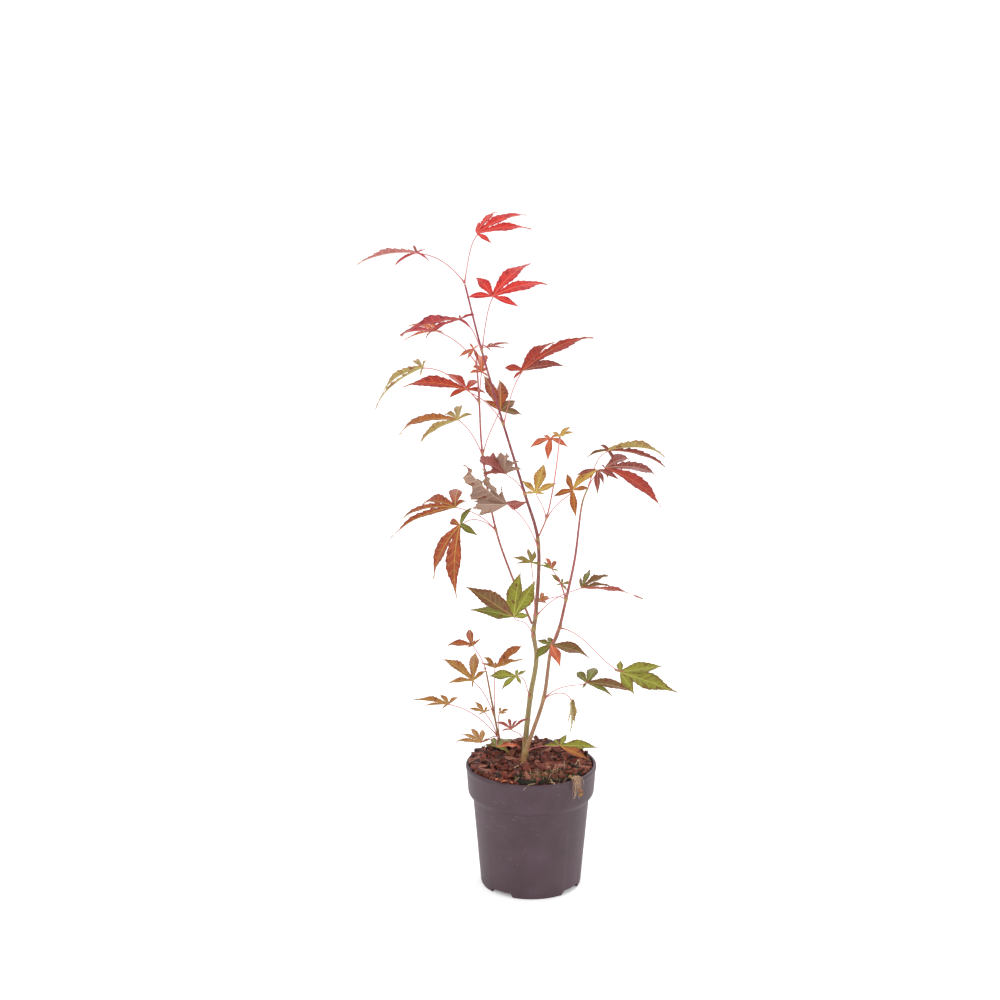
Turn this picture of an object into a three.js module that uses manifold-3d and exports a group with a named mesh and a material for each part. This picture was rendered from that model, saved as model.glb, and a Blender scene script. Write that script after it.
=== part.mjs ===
// A young Japanese maple, a seedling with several slim stems, in a round moulded nursery pot.
//
// Millimetres, +Z up. The origin is the centre of the pot's flat underside, so the plant stands on
// the plane z = 0. The leader stands a little left of the pot's axis and leans to -X as it climbs.
//
// Every piece is one closed solid. The limbs are tapered rods bent along smooth curves. Each spray of
// leaves is one solid: a collar round the limb, leaf stalks, and palmate blades fused on them.

import * as THREE from 'three';
import { mergeVertices } from 'three/addons/utils/BufferGeometryUtils.js';
import Module from 'manifold-3d';

const wasm = await Module();
wasm.setup();

// ---------------------------------------------------------------- driving dimensions

const CLEARANCE = 0.3; // between neighbouring solids that touch on the real plant
const viewpoint = [-31, -2000, 880]; // in front of the plant, where its leaves were set out from
const settlingRounds = 30; // of working out how far a drooping lobe reaches
const GOLDEN_ANGLE = 2.4; // in radians; turning by it spreads things evenly over a disc

const pot = {
  height: 125,
  rimRadius: 65,
  rimThickness: 3.6,
  collarFoot: 96, // height of the collar's lower edge
  collarFootRadius: 62.8,
  neckHeight: 91, // the top of the body, just under the collar
  neckRadius: 58,
  baseRadius: 50,
  wall: 2,
  channelInner: 20, // the sunken ring of the underside
  channelOuter: 38,
  channelDepth: 3,
  floor: 5, // height of the inside bottom
  notches: 4, // drainage notches through the foot ring
  notchWidth: 24,
  notchHeight: 4.5,
  notchBearing: -127, // compass bearing of the first one, from +X towards +Y
  holes: 8, // drainage holes in the channel
  holeRadius: 4,
  sides: 40,
};

const fill = {
  compostTop: 117,
  mulchTop: 126, // where the stems stand
  mulchEdge: 124.5, // where the mulch meets the pot wall
  chips: 20, // chips of bark that stand proud
  chipSize: [15, 7, 3.2],
  chipReach: 48, // the chips' middles lie within this radius
  seatMargin: 2, // a stem's heap of mulch is this much wider than its foot
  seed: 3,
};

// A limb is a list of points that it grows through, with its radius at both ends. The higher `taper`
// is, the sooner it thins. The leader rises out of the mulch with a root flare. A side limb starts
// just clear of the limb that carries it.
const limbs = {
  leader: {
    through: [[-6, 4, 126], [-5, 5, 153], [-1, 6, 192], [5, 8, 232], [2, 8, 257], [4, 8, 275], [6, 4, 352],
      [-7, 0, 400], [-28, -3, 470], [-49, -2, 543], [-64, 0, 603]],
    foot: 3, tip: 0.9, taper: 1.6, flare: 1.6, steps: 30,
  },
  left_bough: {
    from: 'leader', fromHeight: 262,
    through: [[-21, 10, 319], [-35, 13, 361], [-48, 15, 437], [-51, 14, 488], [-53, 13, 523]],
    foot: 1.2, tip: 0.8, taper: 0.85, flare: 0, steps: 18,
  },
  right_stem: {
    through: [[-7, -6, 126], [0, -7, 156], [12, -10, 196], [19, -14, 248], [25, -15, 263], [33, -17, 299],
      [41, -19, 340], [48, -20, 397], [53, -20, 411]],
    foot: 2.2, tip: 0.8, taper: 0.85, flare: 1.1, steps: 24,
  },
  side_twig: {
    from: 'leader', fromHeight: 354,
    through: [[14, -3, 377], [21, -8, 414], [26, -10, 456]],
    foot: 0.8, tip: 0.6, taper: 0.85, flare: 0, steps: 9,
  },
  basal_shoot: {
    through: [[-32, 44, 126], [-37, 43, 161], [-45, 36, 209]],
    foot: 1.2, tip: 0.8, taper: 0.85, flare: 0.5, steps: 8,
  },
};

// A spray sits on its limb at a height, or on the limb's tip. Its leaves are set out by eye, in
// millimetres to the right and up as they show from the `viewpoint`:
//   at     where the blade starts, in the part's own frame
//   back   how far the blade's plane goes back for each millimetre to the right, and for each one up
//   droop  how far each lobe bends down between its root and its tip, in degrees
//   tips   where the five lobes end, from the blade's start; the basal lobes are the first and the last,
//          and they run counterclockwise where the upper face shows
const sprays = {
  crown_tip: { limb: 'leader', leaves: [
    { at: [-53, 15, 649], back: [-0.2, 1], droop: 40,
      tips: [[14, -10], [53, 5], [49, 19], [19, 22], [4, 12]] },
    { at: [-108, -25, 636], back: [-0.3, 1.1], droop: 32,
      tips: [[9, 3], [-4, 7], [-57, -9], [-24, -14], [13, -9]] },
  ] },
  crown_upper: { limb: 'leader', height: 541, leaves: [
    { at: [-38, 25, 588], back: [0, 0.8], droop: 35,
      tips: [[25, -11], [53, 15], [35, 34], [-16, 19], [-26, -1]] },
    { at: [-68, -25, 574], back: [-0.3, 1], droop: 35,
      tips: [[17, 4], [-1, 4], [-58, -15], [-35, -16], [10, -9]] },
    { at: [-44, 12, 541], back: [0.2, 1], droop: 25,
      tips: [[5, -4], [19, -1], [25, 4], [7, 4], [-5, 3]] },
  ] },
  crown_middle: { limb: 'leader', height: 470, leaves: [
    { at: [-64, 42, 494], back: [0.1, 1], droop: 42,
      tips: [[20, -4], [12, 9], [-21, 16], [-64, 4], [-18, -8]] },
    { at: [-10, -20, 524], back: [-0.3, 0.8], droop: 35,
      tips: [[43, 6], [67, 37], [31, 28], [-18, 2], [-9, -9]] },
  ] },
  crown_lower: { limb: 'leader', height: 400, leaves: [
    { at: [-26, -35, 428], back: [0.5, -0.9], droop: 40,
      tips: [[-20, -2], [-25, 11], [1, 18], [12, 12], [17, 4]] },
  ] },
  twig_fork: { limb: 'leader', height: 347, leaves: [
    { at: [-24, -35, 398], back: [0.8, 0.3], droop: 25,
      tips: [[-32, 2], [-41, 35], [-24, 32], [-6, 17], [21, 2]] },
  ] },
  leader_middle: { limb: 'leader', height: 275, leaves: [
    { at: [-1, -25, 338], back: [0.3, 0.8], droop: 25,
      tips: [[11, -3], [4, 12], [-3, 15], [-19, 5], [-16, -1]] },
    { at: [50, 40, 294], back: [0, 0.9], droop: 35,
      tips: [[63, -10], [31, 2], [29, 13], [10, 19], [-2, 11]] },
  ] },
  bough_fork: { limb: 'leader', height: 254, leaves: [
    { at: [-18, -63, 295], back: [0, 0.4], droop: 20,
      tips: [[16, 2], [22, 36], [5, 45], [-48, 30], [-44, 9]] },
  ] },
  leader_lower: { limb: 'leader', height: 192, leaves: [
    { at: [-15, -35, 227], back: [-0.3, 0.7], droop: 30,
      tips: [[11, 6], [1, 7], [-28, -1], [-16, -14], [5, -9]] },
  ] },
  leader_foot: { limb: 'leader', height: 146, leaves: [
    { at: [-20, -26, 169], back: [0, 0.9], droop: 35,
      tips: [[23, 12], [7, 10], [-3, 12], [-17, 7], [-11, -2]] },
  ] },
  left_lower: { limb: 'left_bough', height: 361, leaves: [
    { at: [-74, -10, 389], back: [-0.3, 1.1], droop: 48,
      tips: [[11, 6], [5, 17], [-35, 2], [-57, -14], [-64, -31]] },
    { at: [-69, -30, 377], back: [-0.7, 0.5], droop: 45,
      tips: [[-10, 3], [-27, -52], [-2, -71], [18, -11], [14, 18]] },
  ] },
  left_middle: { limb: 'left_bough', height: 437, leaves: [
    { at: [-31, 23, 477], back: [0.3, 0.7], droop: 30,
      tips: [[23, -4], [16, 10], [0, 32], [-18, 37], [-16, 11]] },
    { at: [-71, 5, 472], back: [-0.3, 1], droop: 50,
      tips: [[15, 4], [2, 13], [-14, 4], [-62, -15], [-38, -24]] },
  ] },
  left_upper: { limb: 'left_bough', height: 488, leaves: [
    { at: [-49, 38, 512], back: [0.2, 0.8], droop: 50,
      tips: [[7, -5], [6, 3], [-2, 19], [-10, 6], [-13, -1]] },
    { at: [-104, 0, 524], back: [-0.8, 0.9], droop: 45,
      tips: [[4, 7], [-8, 6], [-40, -25], [-48, -42], [-2, -9]] },
  ] },
  left_tip: { limb: 'left_bough', leaves: [
    { at: [-91, 10, 557], back: [0, 1.3], droop: 35,
      tips: [[7, -2], [-8, 7], [-30, 5], [-37, -4], [-34, -9]] },
    { at: [-56, 22, 538], back: [-0.2, 0.4], droop: 10,
      tips: [[5, 4], [-5, 6], [-16, -8], [-7, -11], [5, -12]] },
  ] },
  right_foot: { limb: 'right_stem', height: 139, leaves: [
    { at: [29, 12, 138], back: [-0.1, 0.9], droop: 15,
      tips: [[29, -14], [39, 0], [7, 12], [-7, 7], [-18, 0]] },
  ] },
  right_lower: { limb: 'right_stem', height: 196, leaves: [
    { at: [56, 30, 198], back: [0, 0.9], droop: 40,
      tips: [[28, -14], [49, -10], [11, 16], [-12, 11], [-5, -6]] },
    { at: [38, -45, 207], back: [1.8, 0.2], droop: 5,
      tips: [[-3, -9], [-3, -25], [0, -35], [3, -24], [4, -8]] },
  ] },
  right_middle: { limb: 'right_stem', height: 270, leaves: [
    { at: [18, -45, 262], back: [0, 0.9], droop: 15,
      tips: [[-2, 9], [-15, 4], [-17, -15], [9, -21], [39, -10]] },
    { at: [84, -50, 236], back: [-0.1, 0.9], droop: 10,
      tips: [[15, -21], [55, -19], [44, 6], [0, 12], [-6, 3]] },
  ] },
  right_upper: { limb: 'right_stem', height: 299, leaves: [
    { at: [29, -5, 311], back: [0.1, 0.6], droop: 15,
      tips: [[6, -7], [11, 2], [1, 7], [-11, 11], [-6, -1]] },
    { at: [20, 10, 322], back: [0.1, 0.7], droop: 20,
      tips: [[7, -2], [4, 11], [-9, 14], [-11, 9], [-15, 5]] },
    { at: [8, 15, 287], back: [0.2, 0.7], droop: 35,
      tips: [[8, -1], [11, 7], [5, 12], [-2, 5], [-6, 1]] },
  ] },
  right_tip: { limb: 'right_stem', leaves: [
    { at: [61, -35, 432], back: [0.1, 0.7], droop: 25,
      tips: [[-22, -6], [-18, -14], [1, -25], [7, -15], [22, -9]] },
    { at: [74, 30, 436], back: [0, 1.2], droop: 48,
      tips: [[9, -16], [62, -18], [59, -5], [-9, 4], [-22, -8]] },
    { at: [69, -15, 429], back: [0.4, 0.8], droop: 48,
      tips: [[3, -11], [56, -38], [54, -9], [24, 9], [-4, 3]] },
  ] },
  twig_middle: { limb: 'side_twig', height: 377, leaves: [
    { at: [3, -30, 408], back: [0, 0.8], droop: 15,
      tips: [[10, -1], [21, 10], [8, 30], [-14, 13], [-12, 0]] },
    { at: [39, -10, 406], back: [-0.4, 0.4], droop: 25,
      tips: [[18, 3], [18, 21], [-6, 17], [-20, -6], [4, -27]] },
  ] },
  twig_tip: { limb: 'side_twig', leaves: [
    { at: [26, -15, 460], back: [-0.1, 0.9], droop: 25,
      tips: [[6, 0], [15, 5], [11, 10], [-8, 4], [-7, -1]] },
    { at: [18, 10, 453], back: [-0.2, 0.6], droop: 30,
      tips: [[-8, 2], [-22, -10], [-3, -23], [18, -9], [8, 3]] },
  ] },
  shoot_foot: { limb: 'basal_shoot', height: 137, leaves: [
    { at: [-47, 48, 161], back: [0, 0.8], droop: 10,
      tips: [[8, 3], [4, 7], [-10, 12], [-18, 5], [-7, -3]] },
    { at: [-31, 34, 165], back: [0, 0.8], droop: 35,
      tips: [[5, -2], [8, 0], [10, 3], [0, 6], [-3, 1]] },
    { at: [-83, 55, 167], back: [0, 1.3], droop: 15,
      tips: [[10, 8], [-10, 10], [-39, 5], [-27, -1], [-8, -5]] },
    { at: [-50, 35, 133], back: [-0.1, 0.9], droop: 25,
      tips: [[11, 4], [2, 15], [-13, 16], [-23, 11], [-31, 2]] },
    { at: [-34, 14, 136], back: [0, 1.6], droop: 20,
      tips: [[15, -6], [25, 1], [17, 9], [-6, 10], [-14, 3]] },
  ] },
  shoot_middle: { limb: 'basal_shoot', height: 161, leaves: [
    { at: [-58, 25, 202], back: [0, 0.8], droop: 30,
      tips: [[14, 10], [2, 30], [-31, 23], [-26, -2], [-1, -8]] },
    { at: [-36, 60, 204], back: [0, 0.9], droop: 10,
      tips: [[29, 10], [31, 25], [1, 7], [-12, 13], [-15, 5]] },
  ] },
  shoot_tip: { limb: 'basal_shoot', leaves: [
    { at: [-58, 30, 237], back: [-0.2, 0.9], droop: 15,
      tips: [[9, 8], [3, 7], [-5, 20], [-28, 3], [-7, -2]] },
  ] },
};

// Places along a lobe and half widths there, as shares of its length.
const blade = {
  sinus: 0.3, // where neighbouring lobes part
  broadAt: 0.45,
  broadHalf: 0.13, // less for lobes closer together than wideGap, or longer than longFrom
  slimAt: 0.75,
  slimHalf: 0.055,
  wideGap: 36,
  longFrom: 45,
  longThinning: 0.4,
  heel: 0.05, // the blade reaches this far behind its stalk
  heelAngle: 25, // from the outermost lobes, and at least heelBack from the middle one
  heelBack: 135,
  thickness: 0.7,
};

// A stalk arches up over its span, settles in line with the blade, and ends inside it.
const stalk = {
  radius: 0.65, sides: 3, steps: 6,
  crest: 0.45, arch: 0.22, settle: 0.16, // shares of the span from collar to blade
  sunk: 0.12, // share of the middle lobe's length
  dip: 0.2, // share of the blade's droop
};
const collar = { wall: 1.2, height: 3, sides: 6 };
const tipKnob = 1.5; // radius of the bud that ends a limb

// ---------------------------------------------------------------- finishes

const finish = {
  pot: new THREE.MeshStandardMaterial({ color: '#5c4d54', roughness: 0.5 }),
  compost: new THREE.MeshStandardMaterial({ color: '#2e211c', roughness: 1 }),
  bark: new THREE.MeshStandardMaterial({ color: '#5c332a', roughness: 0.95 }),
  youngWood: new THREE.MeshStandardMaterial({ color: '#8a5a44', roughness: 0.6 }),
  redLeaf: new THREE.MeshStandardMaterial({ color: '#b83c32', roughness: 0.6, side: THREE.DoubleSide }),
  bronzeLeaf: new THREE.MeshStandardMaterial({ color: '#9a6238', roughness: 0.6, side: THREE.DoubleSide }),
  greenLeaf: new THREE.MeshStandardMaterial({ color: '#7c8a34', roughness: 0.6, side: THREE.DoubleSide }),
};

const sprayFinish = {
  crown_tip: finish.redLeaf, crown_upper: finish.redLeaf, crown_middle: finish.redLeaf,
  right_tip: finish.redLeaf, shoot_tip: finish.redLeaf,
  leader_middle: finish.greenLeaf, bough_fork: finish.greenLeaf, leader_lower: finish.greenLeaf,
  right_middle: finish.greenLeaf, right_foot: finish.greenLeaf,
};

// ---------------------------------------------------------------- solids

const radians = THREE.MathUtils.degToRad;
const degrees = THREE.MathUtils.radToDeg;
const vector = (xyz) => new THREE.Vector3(...xyz);

// Numbers from 0 to 1 that are the same on every run.
function seededNumbers(seed) {
  let state = seed >>> 0;
  return () => {
    state = (Math.imul(state, 1664525) + 1013904223) >>> 0;
    return state / 4294967296;
  };
}

// The geometry with shared corners, without the flat triangles at a lathe's poles, facing outward.
function closed(geometry) {
  geometry.deleteAttribute('normal');
  geometry.deleteAttribute('uv');
  const merged = mergeVertices(geometry, 1e-4);
  const position = merged.attributes.position;
  const corners = [0, 1, 2].map(() => new THREE.Vector3());
  const faces = [];
  let volume = 0;
  for (let i = 0; i < merged.index.count; i += 3) {
    const face = [0, 1, 2].map((k) => merged.index.getX(i + k));
    if (new Set(face).size < 3) continue;
    face.forEach((vertex, k) => corners[k].fromBufferAttribute(position, vertex));
    volume += corners[0].dot(corners[1].clone().cross(corners[2]));
    faces.push(face);
  }
  merged.setIndex(faces.flatMap((face) => (volume > 0 ? face : face.reverse())));
  return merged;
}

function solid(geometry) {
  const shape = closed(geometry);
  return new wasm.Manifold(new wasm.Mesh({
    numProp: 3,
    vertProperties: new Float32Array(shape.attributes.position.array),
    triVerts: new Uint32Array(shape.index.array),
  }));
}

function geometryOf(manifold) {
  const mesh = manifold.getMesh();
  const geometry = new THREE.BufferGeometry();
  geometry.setAttribute('position', new THREE.BufferAttribute(mesh.vertProperties, 3));
  geometry.setIndex(new THREE.BufferAttribute(mesh.triVerts, 1));
  geometry.computeVertexNormals();
  return geometry;
}

const joined = (solids) => solids.reduce((sum, next) => sum.add(next));

// A profile of [radius, height] pairs turned about +Z.
function turned(profile, sides) {
  const points = profile.map(([radius, height]) => new THREE.Vector2(radius, height));
  return new THREE.LatheGeometry(points, sides).rotateX(Math.PI / 2);
}

// A round rod along a curve. Its radius is a function of the share of the length, 0 to 1.
function rod(curve, radiusAt, sides, steps) {
  const profile = [new THREE.Vector2(0, 0)];
  for (let i = 0; i <= steps; i += 1) profile.push(new THREE.Vector2(radiusAt(i / steps), i));
  profile.push(new THREE.Vector2(0, steps));
  const geometry = new THREE.LatheGeometry(profile, sides);
  const frames = curve.computeFrenetFrames(steps, false);
  const position = geometry.attributes.position;
  const spot = new THREE.Vector3();
  for (let i = 0; i < position.count; i += 1) {
    const step = Math.round(position.getY(i));
    curve.getPointAt(step / steps, spot);
    spot.addScaledVector(frames.normals[step], position.getX(i));
    spot.addScaledVector(frames.binormals[step], position.getZ(i));
    position.setXYZ(i, spot.x, spot.y, spot.z);
  }
  return geometry;
}

// ---------------------------------------------------------------- pot

// The outline runs up the outside from the middle of the underside and back down the inside.
function potShell() {
  const { height, rimRadius, rimThickness, collarFoot, collarFootRadius, baseRadius, wall } = pot;
  const { neckHeight, neckRadius } = pot;
  const shell = solid(turned([
    [0, 0], [pot.channelInner, 0], [pot.channelInner + 2, pot.channelDepth],
    [pot.channelOuter - 2, pot.channelDepth], [pot.channelOuter, 0],
    [baseRadius - 1, 0], [baseRadius, 1.2], [neckRadius, neckHeight],
    [collarFootRadius - 1, collarFoot - 1.5], [collarFootRadius, collarFoot],
    [rimRadius, height - 2], [rimRadius - 1, height],
    [rimRadius - rimThickness + 1, height], [rimRadius - rimThickness, height - 1.5],
    [collarFootRadius - wall, collarFoot + 1], [neckRadius - wall, neckHeight - 2],
    [baseRadius - wall - 1, pot.floor + 1], [baseRadius - wall - 3, pot.floor], [0, pot.floor],
  ], pot.sides));
  const cutters = [];
  for (let i = 0; i < pot.notches; i += 1) {
    const notch = new THREE.BoxGeometry(baseRadius, pot.notchWidth, 2 * pot.notchHeight);
    notch.translate((pot.channelOuter + pot.channelInner) / 2 + baseRadius / 2, 0, 0);
    notch.rotateZ(radians(pot.notchBearing + (i * 360) / pot.notches));
    cutters.push(solid(notch));
  }
  for (let i = 0; i < pot.holes; i += 1) {
    const hole = new THREE.CylinderGeometry(pot.holeRadius, pot.holeRadius, 4 * pot.floor, 10);
    hole.rotateX(Math.PI / 2).translate((pot.channelInner + pot.channelOuter) / 2, 0, 0);
    hole.rotateZ(radians(((i + 0.5) * 360) / pot.holes));
    cutters.push(solid(hole));
  }
  return geometryOf(shell.subtract(joined(cutters)));
}

// ---------------------------------------------------------------- compost and mulch

// The compost lies against the wall and the bottom, with a flat top.
function compost() {
  const gap = CLEARANCE;
  const { neckHeight, neckRadius, collarFootRadius, baseRadius, wall, collarFoot, floor } = pot;
  return closed(turned([
    [0, floor + gap], [baseRadius - wall - 3 - gap, floor + gap],
    [baseRadius - wall - 1 - gap, floor + 1 + gap], [neckRadius - wall - gap, neckHeight - 2],
    [collarFootRadius - wall - gap, collarFoot + 1 + gap],
    [collarFootRadius - wall, fill.compostTop], [0, fill.compostTop],
  ], pot.sides));
}

// Every limb that rises from the mulch stands on a level heap of it, clear of the chips.
const standing = Object.values(limbs).filter((limb) => !limb.from);
const footRadius = (limb) => limb.foot + limb.flare;

// A mound that falls off towards the wall, with seeded chips of bark lying on it.
function mulch() {
  const random = seededNumbers(fill.seed);
  const bottom = fill.compostTop + CLEARANCE;
  const edge = pot.collarFootRadius - pot.wall;
  const fall = fill.mulchTop - fill.mulchEdge;
  const mound = [0.5, 0.75, 0.92, 1].map((share) => [edge * share, fill.mulchTop - fall * share ** 3]);
  let body = solid(turned(
    [[0, bottom], [edge, bottom], ...mound.reverse(), [0, fill.mulchTop]], 32));
  const [long, wide, thick] = fill.chipSize;
  for (let i = 0; i < fill.chips; i += 1) {
    const bearing = (i + random()) * GOLDEN_ANGLE;
    const out = fill.chipReach * Math.sqrt((i + 0.5) / fill.chips);
    const chip = new THREE.BoxGeometry(long * (0.7 + 0.5 * random()), wide * (0.7 + 0.6 * random()), thick);
    chip.rotateX(radians(30 * random() - 15)).rotateY(radians(24 * random() - 12));
    chip.rotateZ(radians(360 * random()));
    const top = fill.mulchTop - fall * (out / edge) ** 3;
    chip.translate(out * Math.cos(bearing), out * Math.sin(bearing), top + 0.6);
    body = body.add(solid(chip));
  }
  const column = (limb, low, high) => {
    const [x, y] = limb.through[0];
    const seat = footRadius(limb) + fill.seatMargin;
    const geometry = new THREE.CylinderGeometry(seat, seat, high - low, 12).rotateX(Math.PI / 2);
    return solid(geometry.translate(x, y, (low + high) / 2));
  };
  const heaps = standing.map((limb) => column(limb, bottom, fill.mulchTop));
  const room = standing.map((limb) => column(limb, fill.mulchTop, fill.mulchTop + 40));
  return geometryOf(body.add(joined(heaps)).subtract(joined(room)));
}

// ---------------------------------------------------------------- limbs

// Thinner with length, and swollen where a standing limb leaves the mulch.
function limbRadius(limb, length) {
  const flareHeight = 7;
  return (share) => limb.tip + (limb.foot - limb.tip) * (1 - share) ** limb.taper
    + limb.flare * Math.exp((-share * length) / flareHeight);
}

// The share of a limb's length at which it reaches a height.
function shareAtHeight(curve, height) {
  let low = 0;
  let high = 1;
  for (let i = 0; i < 30; i += 1) {
    const middle = (low + high) / 2;
    if (curve.getPointAt(middle).z < height) low = middle;
    else high = middle;
  }
  return low;
}

const uprightFoot = 6; // a standing limb starts upright, so that its cut is level
const curves = {};
const radii = {};
for (const [name, limb] of Object.entries(limbs)) {
  const points = limb.through.map(vector);
  if (limb.from) {
    const parent = curves[limb.from];
    const share = shareAtHeight(parent, limb.fromHeight);
    const root = parent.getPointAt(share);
    const away = points[0].clone().sub(root).normalize();
    const slant = away.angleTo(parent.getTangentAt(share));
    const stand = (radii[limb.from](share) + limb.foot + CLEARANCE) / Math.sin(slant);
    points.unshift(root.addScaledVector(away, stand));
  } else {
    points[0].z += CLEARANCE;
    points.splice(1, 0, points[0].clone().setZ(points[0].z + uprightFoot));
  }
  curves[name] = new THREE.CatmullRomCurve3(points, false, 'centripetal');
  radii[name] = limbRadius(limb, curves[name].getLength());
}

// ---------------------------------------------------------------- leaves

// A leaf with its blade's own directions, along the middle lobe, to its left, and up from the upper
// face, and with its lobes' headings from the middle one and their lengths. A lobe starts in the
// blade's plane and ends below it. The further it reaches, the further it sinks, so a few rounds settle
// how far it reaches in the plane to end at its tip.
function laidOut(leaf) {
  const away = vector(leaf.at).sub(vector(viewpoint)).normalize();
  const rightward = away.clone().cross(new THREE.Vector3(0, 0, 1)).normalize();
  const upward = rightward.clone().cross(away);
  const seenAt = (right, up, far) => {
    return rightward.clone().multiplyScalar(right).addScaledVector(upward, up).addScaledVector(away, far);
  };
  const back = new THREE.Vector2(...leaf.back);
  const tips = leaf.tips.map((tip) => new THREE.Vector2(...tip));
  const turning = tips.slice(1).reduce((sum, tip, k) => sum + tips[k].cross(tip), 0);
  const face = Math.sign(turning) / Math.hypot(back.x, back.y, 1);
  const droop = radians(leaf.droop);
  const flat = tips.map((tip) => {
    const spot = tip.clone();
    for (let round = 0; round < settlingRounds; round += 1) {
      const reach = Math.hypot(spot.x, spot.y, spot.dot(back));
      spot.copy(tip).addScaledVector(back, face * Math.tan(droop / 2) * reach);
    }
    return seenAt(spot.x, spot.y, spot.dot(back));
  });
  const up = seenAt(back.x, back.y, -1).multiplyScalar(face);
  const along = flat[2].clone().normalize();
  const left = up.clone().cross(along);
  const headings = flat.map((spot, k) => {
    const heading = degrees(Math.atan2(spot.dot(left), spot.dot(along)));
    if (k < 2 && heading > 0) return heading - 360;
    return k > 2 && heading < 0 ? heading + 360 : heading;
  });
  const lengths = flat.map((spot) => (spot.length() * droop) / Math.sin(droop));
  return { ...leaf, along, left, up, headings, lengths };
}

// The flat outline: five lobes that part at the sinuses, with the middle one along +X.
function bladeOutline({ headings, lengths }) {
  const root = new THREE.Vector2();
  const polar = (distance, heading, aside = 0) => {
    return new THREE.Vector2(distance, aside).rotateAround(root, radians(heading));
  };
  const closeness = (k) => Math.min(1, (headings[k + 1] - headings[k]) / blade.wideGap);
  const heel = blade.heel * Math.max(...lengths);
  const points = [polar(heel, Math.min(headings[0] - blade.heelAngle, -blade.heelBack))];
  lengths.forEach((length, k) => {
    const angle = headings[k];
    const width = length * Math.min(1, (blade.longFrom / length) ** blade.longThinning);
    const [right, left] = [closeness(Math.max(k - 1, 0)) * width, closeness(Math.min(k, 3)) * width];
    points.push(polar(blade.broadAt * length, angle, -blade.broadHalf * right));
    if (k > 0 && k < 4) points.push(polar(blade.slimAt * length, angle, -blade.slimHalf * right));
    points.push(polar(length, angle));
    if (k > 0 && k < 4) points.push(polar(blade.slimAt * length, angle, blade.slimHalf * left));
    points.push(polar(blade.broadAt * length, angle, blade.broadHalf * left));
    if (k < 4) {
      points.push(polar(blade.sinus * Math.min(length, lengths[k + 1]), (angle + headings[k + 1]) / 2));
    }
  });
  points.push(polar(heel, Math.max(headings[4] + blade.heelAngle, blade.heelBack)));
  return new THREE.Shape(points);
}

// The outline given its thickness, then bent over: a point goes out along its own direction and down
// on an arc that has turned by the droop where its lobe ends.
function bladeSolid(leaf) {
  const { along, left, up, headings, lengths } = leaf;
  const geometry = new THREE.ExtrudeGeometry(bladeOutline(leaf), {
    depth: blade.thickness, bevelEnabled: false, curveSegments: 1,
  });
  const position = geometry.attributes.position;
  const droop = radians(leaf.droop);
  const spot = new THREE.Vector3();
  for (let i = 0; i < position.count; i += 1) {
    const [u, v] = [position.getX(i), position.getY(i)];
    const lift = position.getZ(i) - blade.thickness / 2;
    const distance = Math.hypot(u, v);
    const angle = Math.atan2(v, u);
    const lobe = headings.slice(1, 4).filter((heading) => radians(heading) < angle).length;
    const [low, high] = [radians(headings[lobe]), radians(headings[lobe + 1])];
    const share = THREE.MathUtils.clamp((angle - low) / (high - low), 0, 1);
    const reach = THREE.MathUtils.lerp(lengths[lobe], lengths[lobe + 1], share);
    const bend = (droop * distance) / reach;
    const radius = reach / droop;
    const out = radius * Math.sin(bend) + lift * Math.sin(bend);
    const down = radius * (1 - Math.cos(bend)) - lift * Math.cos(bend);
    spot.copy(vector(leaf.at));
    spot.addScaledVector(along, out * Math.cos(angle)).addScaledVector(left, out * Math.sin(angle));
    spot.addScaledVector(up, -down);
    position.setXYZ(i, spot.x, spot.y, spot.z);
  }
  return solid(geometry);
}

// A leaf stalk: an arch from the collar that turns in line with the middle lobe and runs on a little
// way inside the blade, dipping as the blade does.
function stalkSolid(leaf, root) {
  const base = vector(leaf.at);
  const { along, up } = leaf;
  const dip = stalk.dip * radians(leaf.droop);
  const sunk = stalk.sunk * leaf.lengths[2];
  const span = root.distanceTo(base);
  const rising = root.clone().lerp(base, stalk.crest);
  rising.z += stalk.arch * span;
  const settling = base.clone().addScaledVector(along, -stalk.settle * span);
  const end = base.clone().addScaledVector(along, sunk * Math.cos(dip));
  end.addScaledVector(up, -sunk * Math.sin(dip));
  const arch = new THREE.CubicBezierCurve3(root, rising, settling, end);
  return solid(rod(arch, () => stalk.radius, stalk.sides, stalk.steps));
}

// ---------------------------------------------------------------- sprays

// A collar stands just clear of its limb all round. On a limb's tip a bud takes its place.
function spraySolid(spray) {
  const curve = curves[spray.limb];
  const atTip = spray.height === undefined;
  const share = atTip ? 1 : shareAtHeight(curve, spray.height);
  const centre = curve.getPointAt(share);
  const tangent = curve.getTangentAt(share);
  const flat = Math.cos(Math.PI / collar.sides); // a side's distance as a share of a corner's
  const inner = (radii[spray.limb](share) + CLEARANCE) / flat;
  let body;
  if (atTip) {
    centre.addScaledVector(tangent, tipKnob + CLEARANCE);
    body = new THREE.IcosahedronGeometry(tipKnob, 0).translate(...centre);
  } else {
    const [outer, half] = [inner + collar.wall, collar.height / 2];
    const section = [[inner, -half], [outer, -half], [outer, half], [inner, half], [inner, -half]];
    body = turned(section, collar.sides);
    body.applyQuaternion(new THREE.Quaternion().setFromUnitVectors(new THREE.Vector3(0, 0, 1), tangent));
    body.translate(...centre);
  }
  const stalkRing = atTip ? 0 : (inner + (inner + collar.wall) * flat) / 2;
  const pieces = [solid(body)];
  for (const leaf of spray.leaves.map(laidOut)) {
    const side = vector(leaf.at).sub(centre);
    side.addScaledVector(tangent, -side.dot(tangent)).normalize();
    const root = centre.clone().addScaledVector(side, stalkRing);
    pieces.push(stalkSolid(leaf, root), bladeSolid(leaf));
  }
  return geometryOf(joined(pieces));
}

// ---------------------------------------------------------------- the plant

const plant = new THREE.Group();

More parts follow.
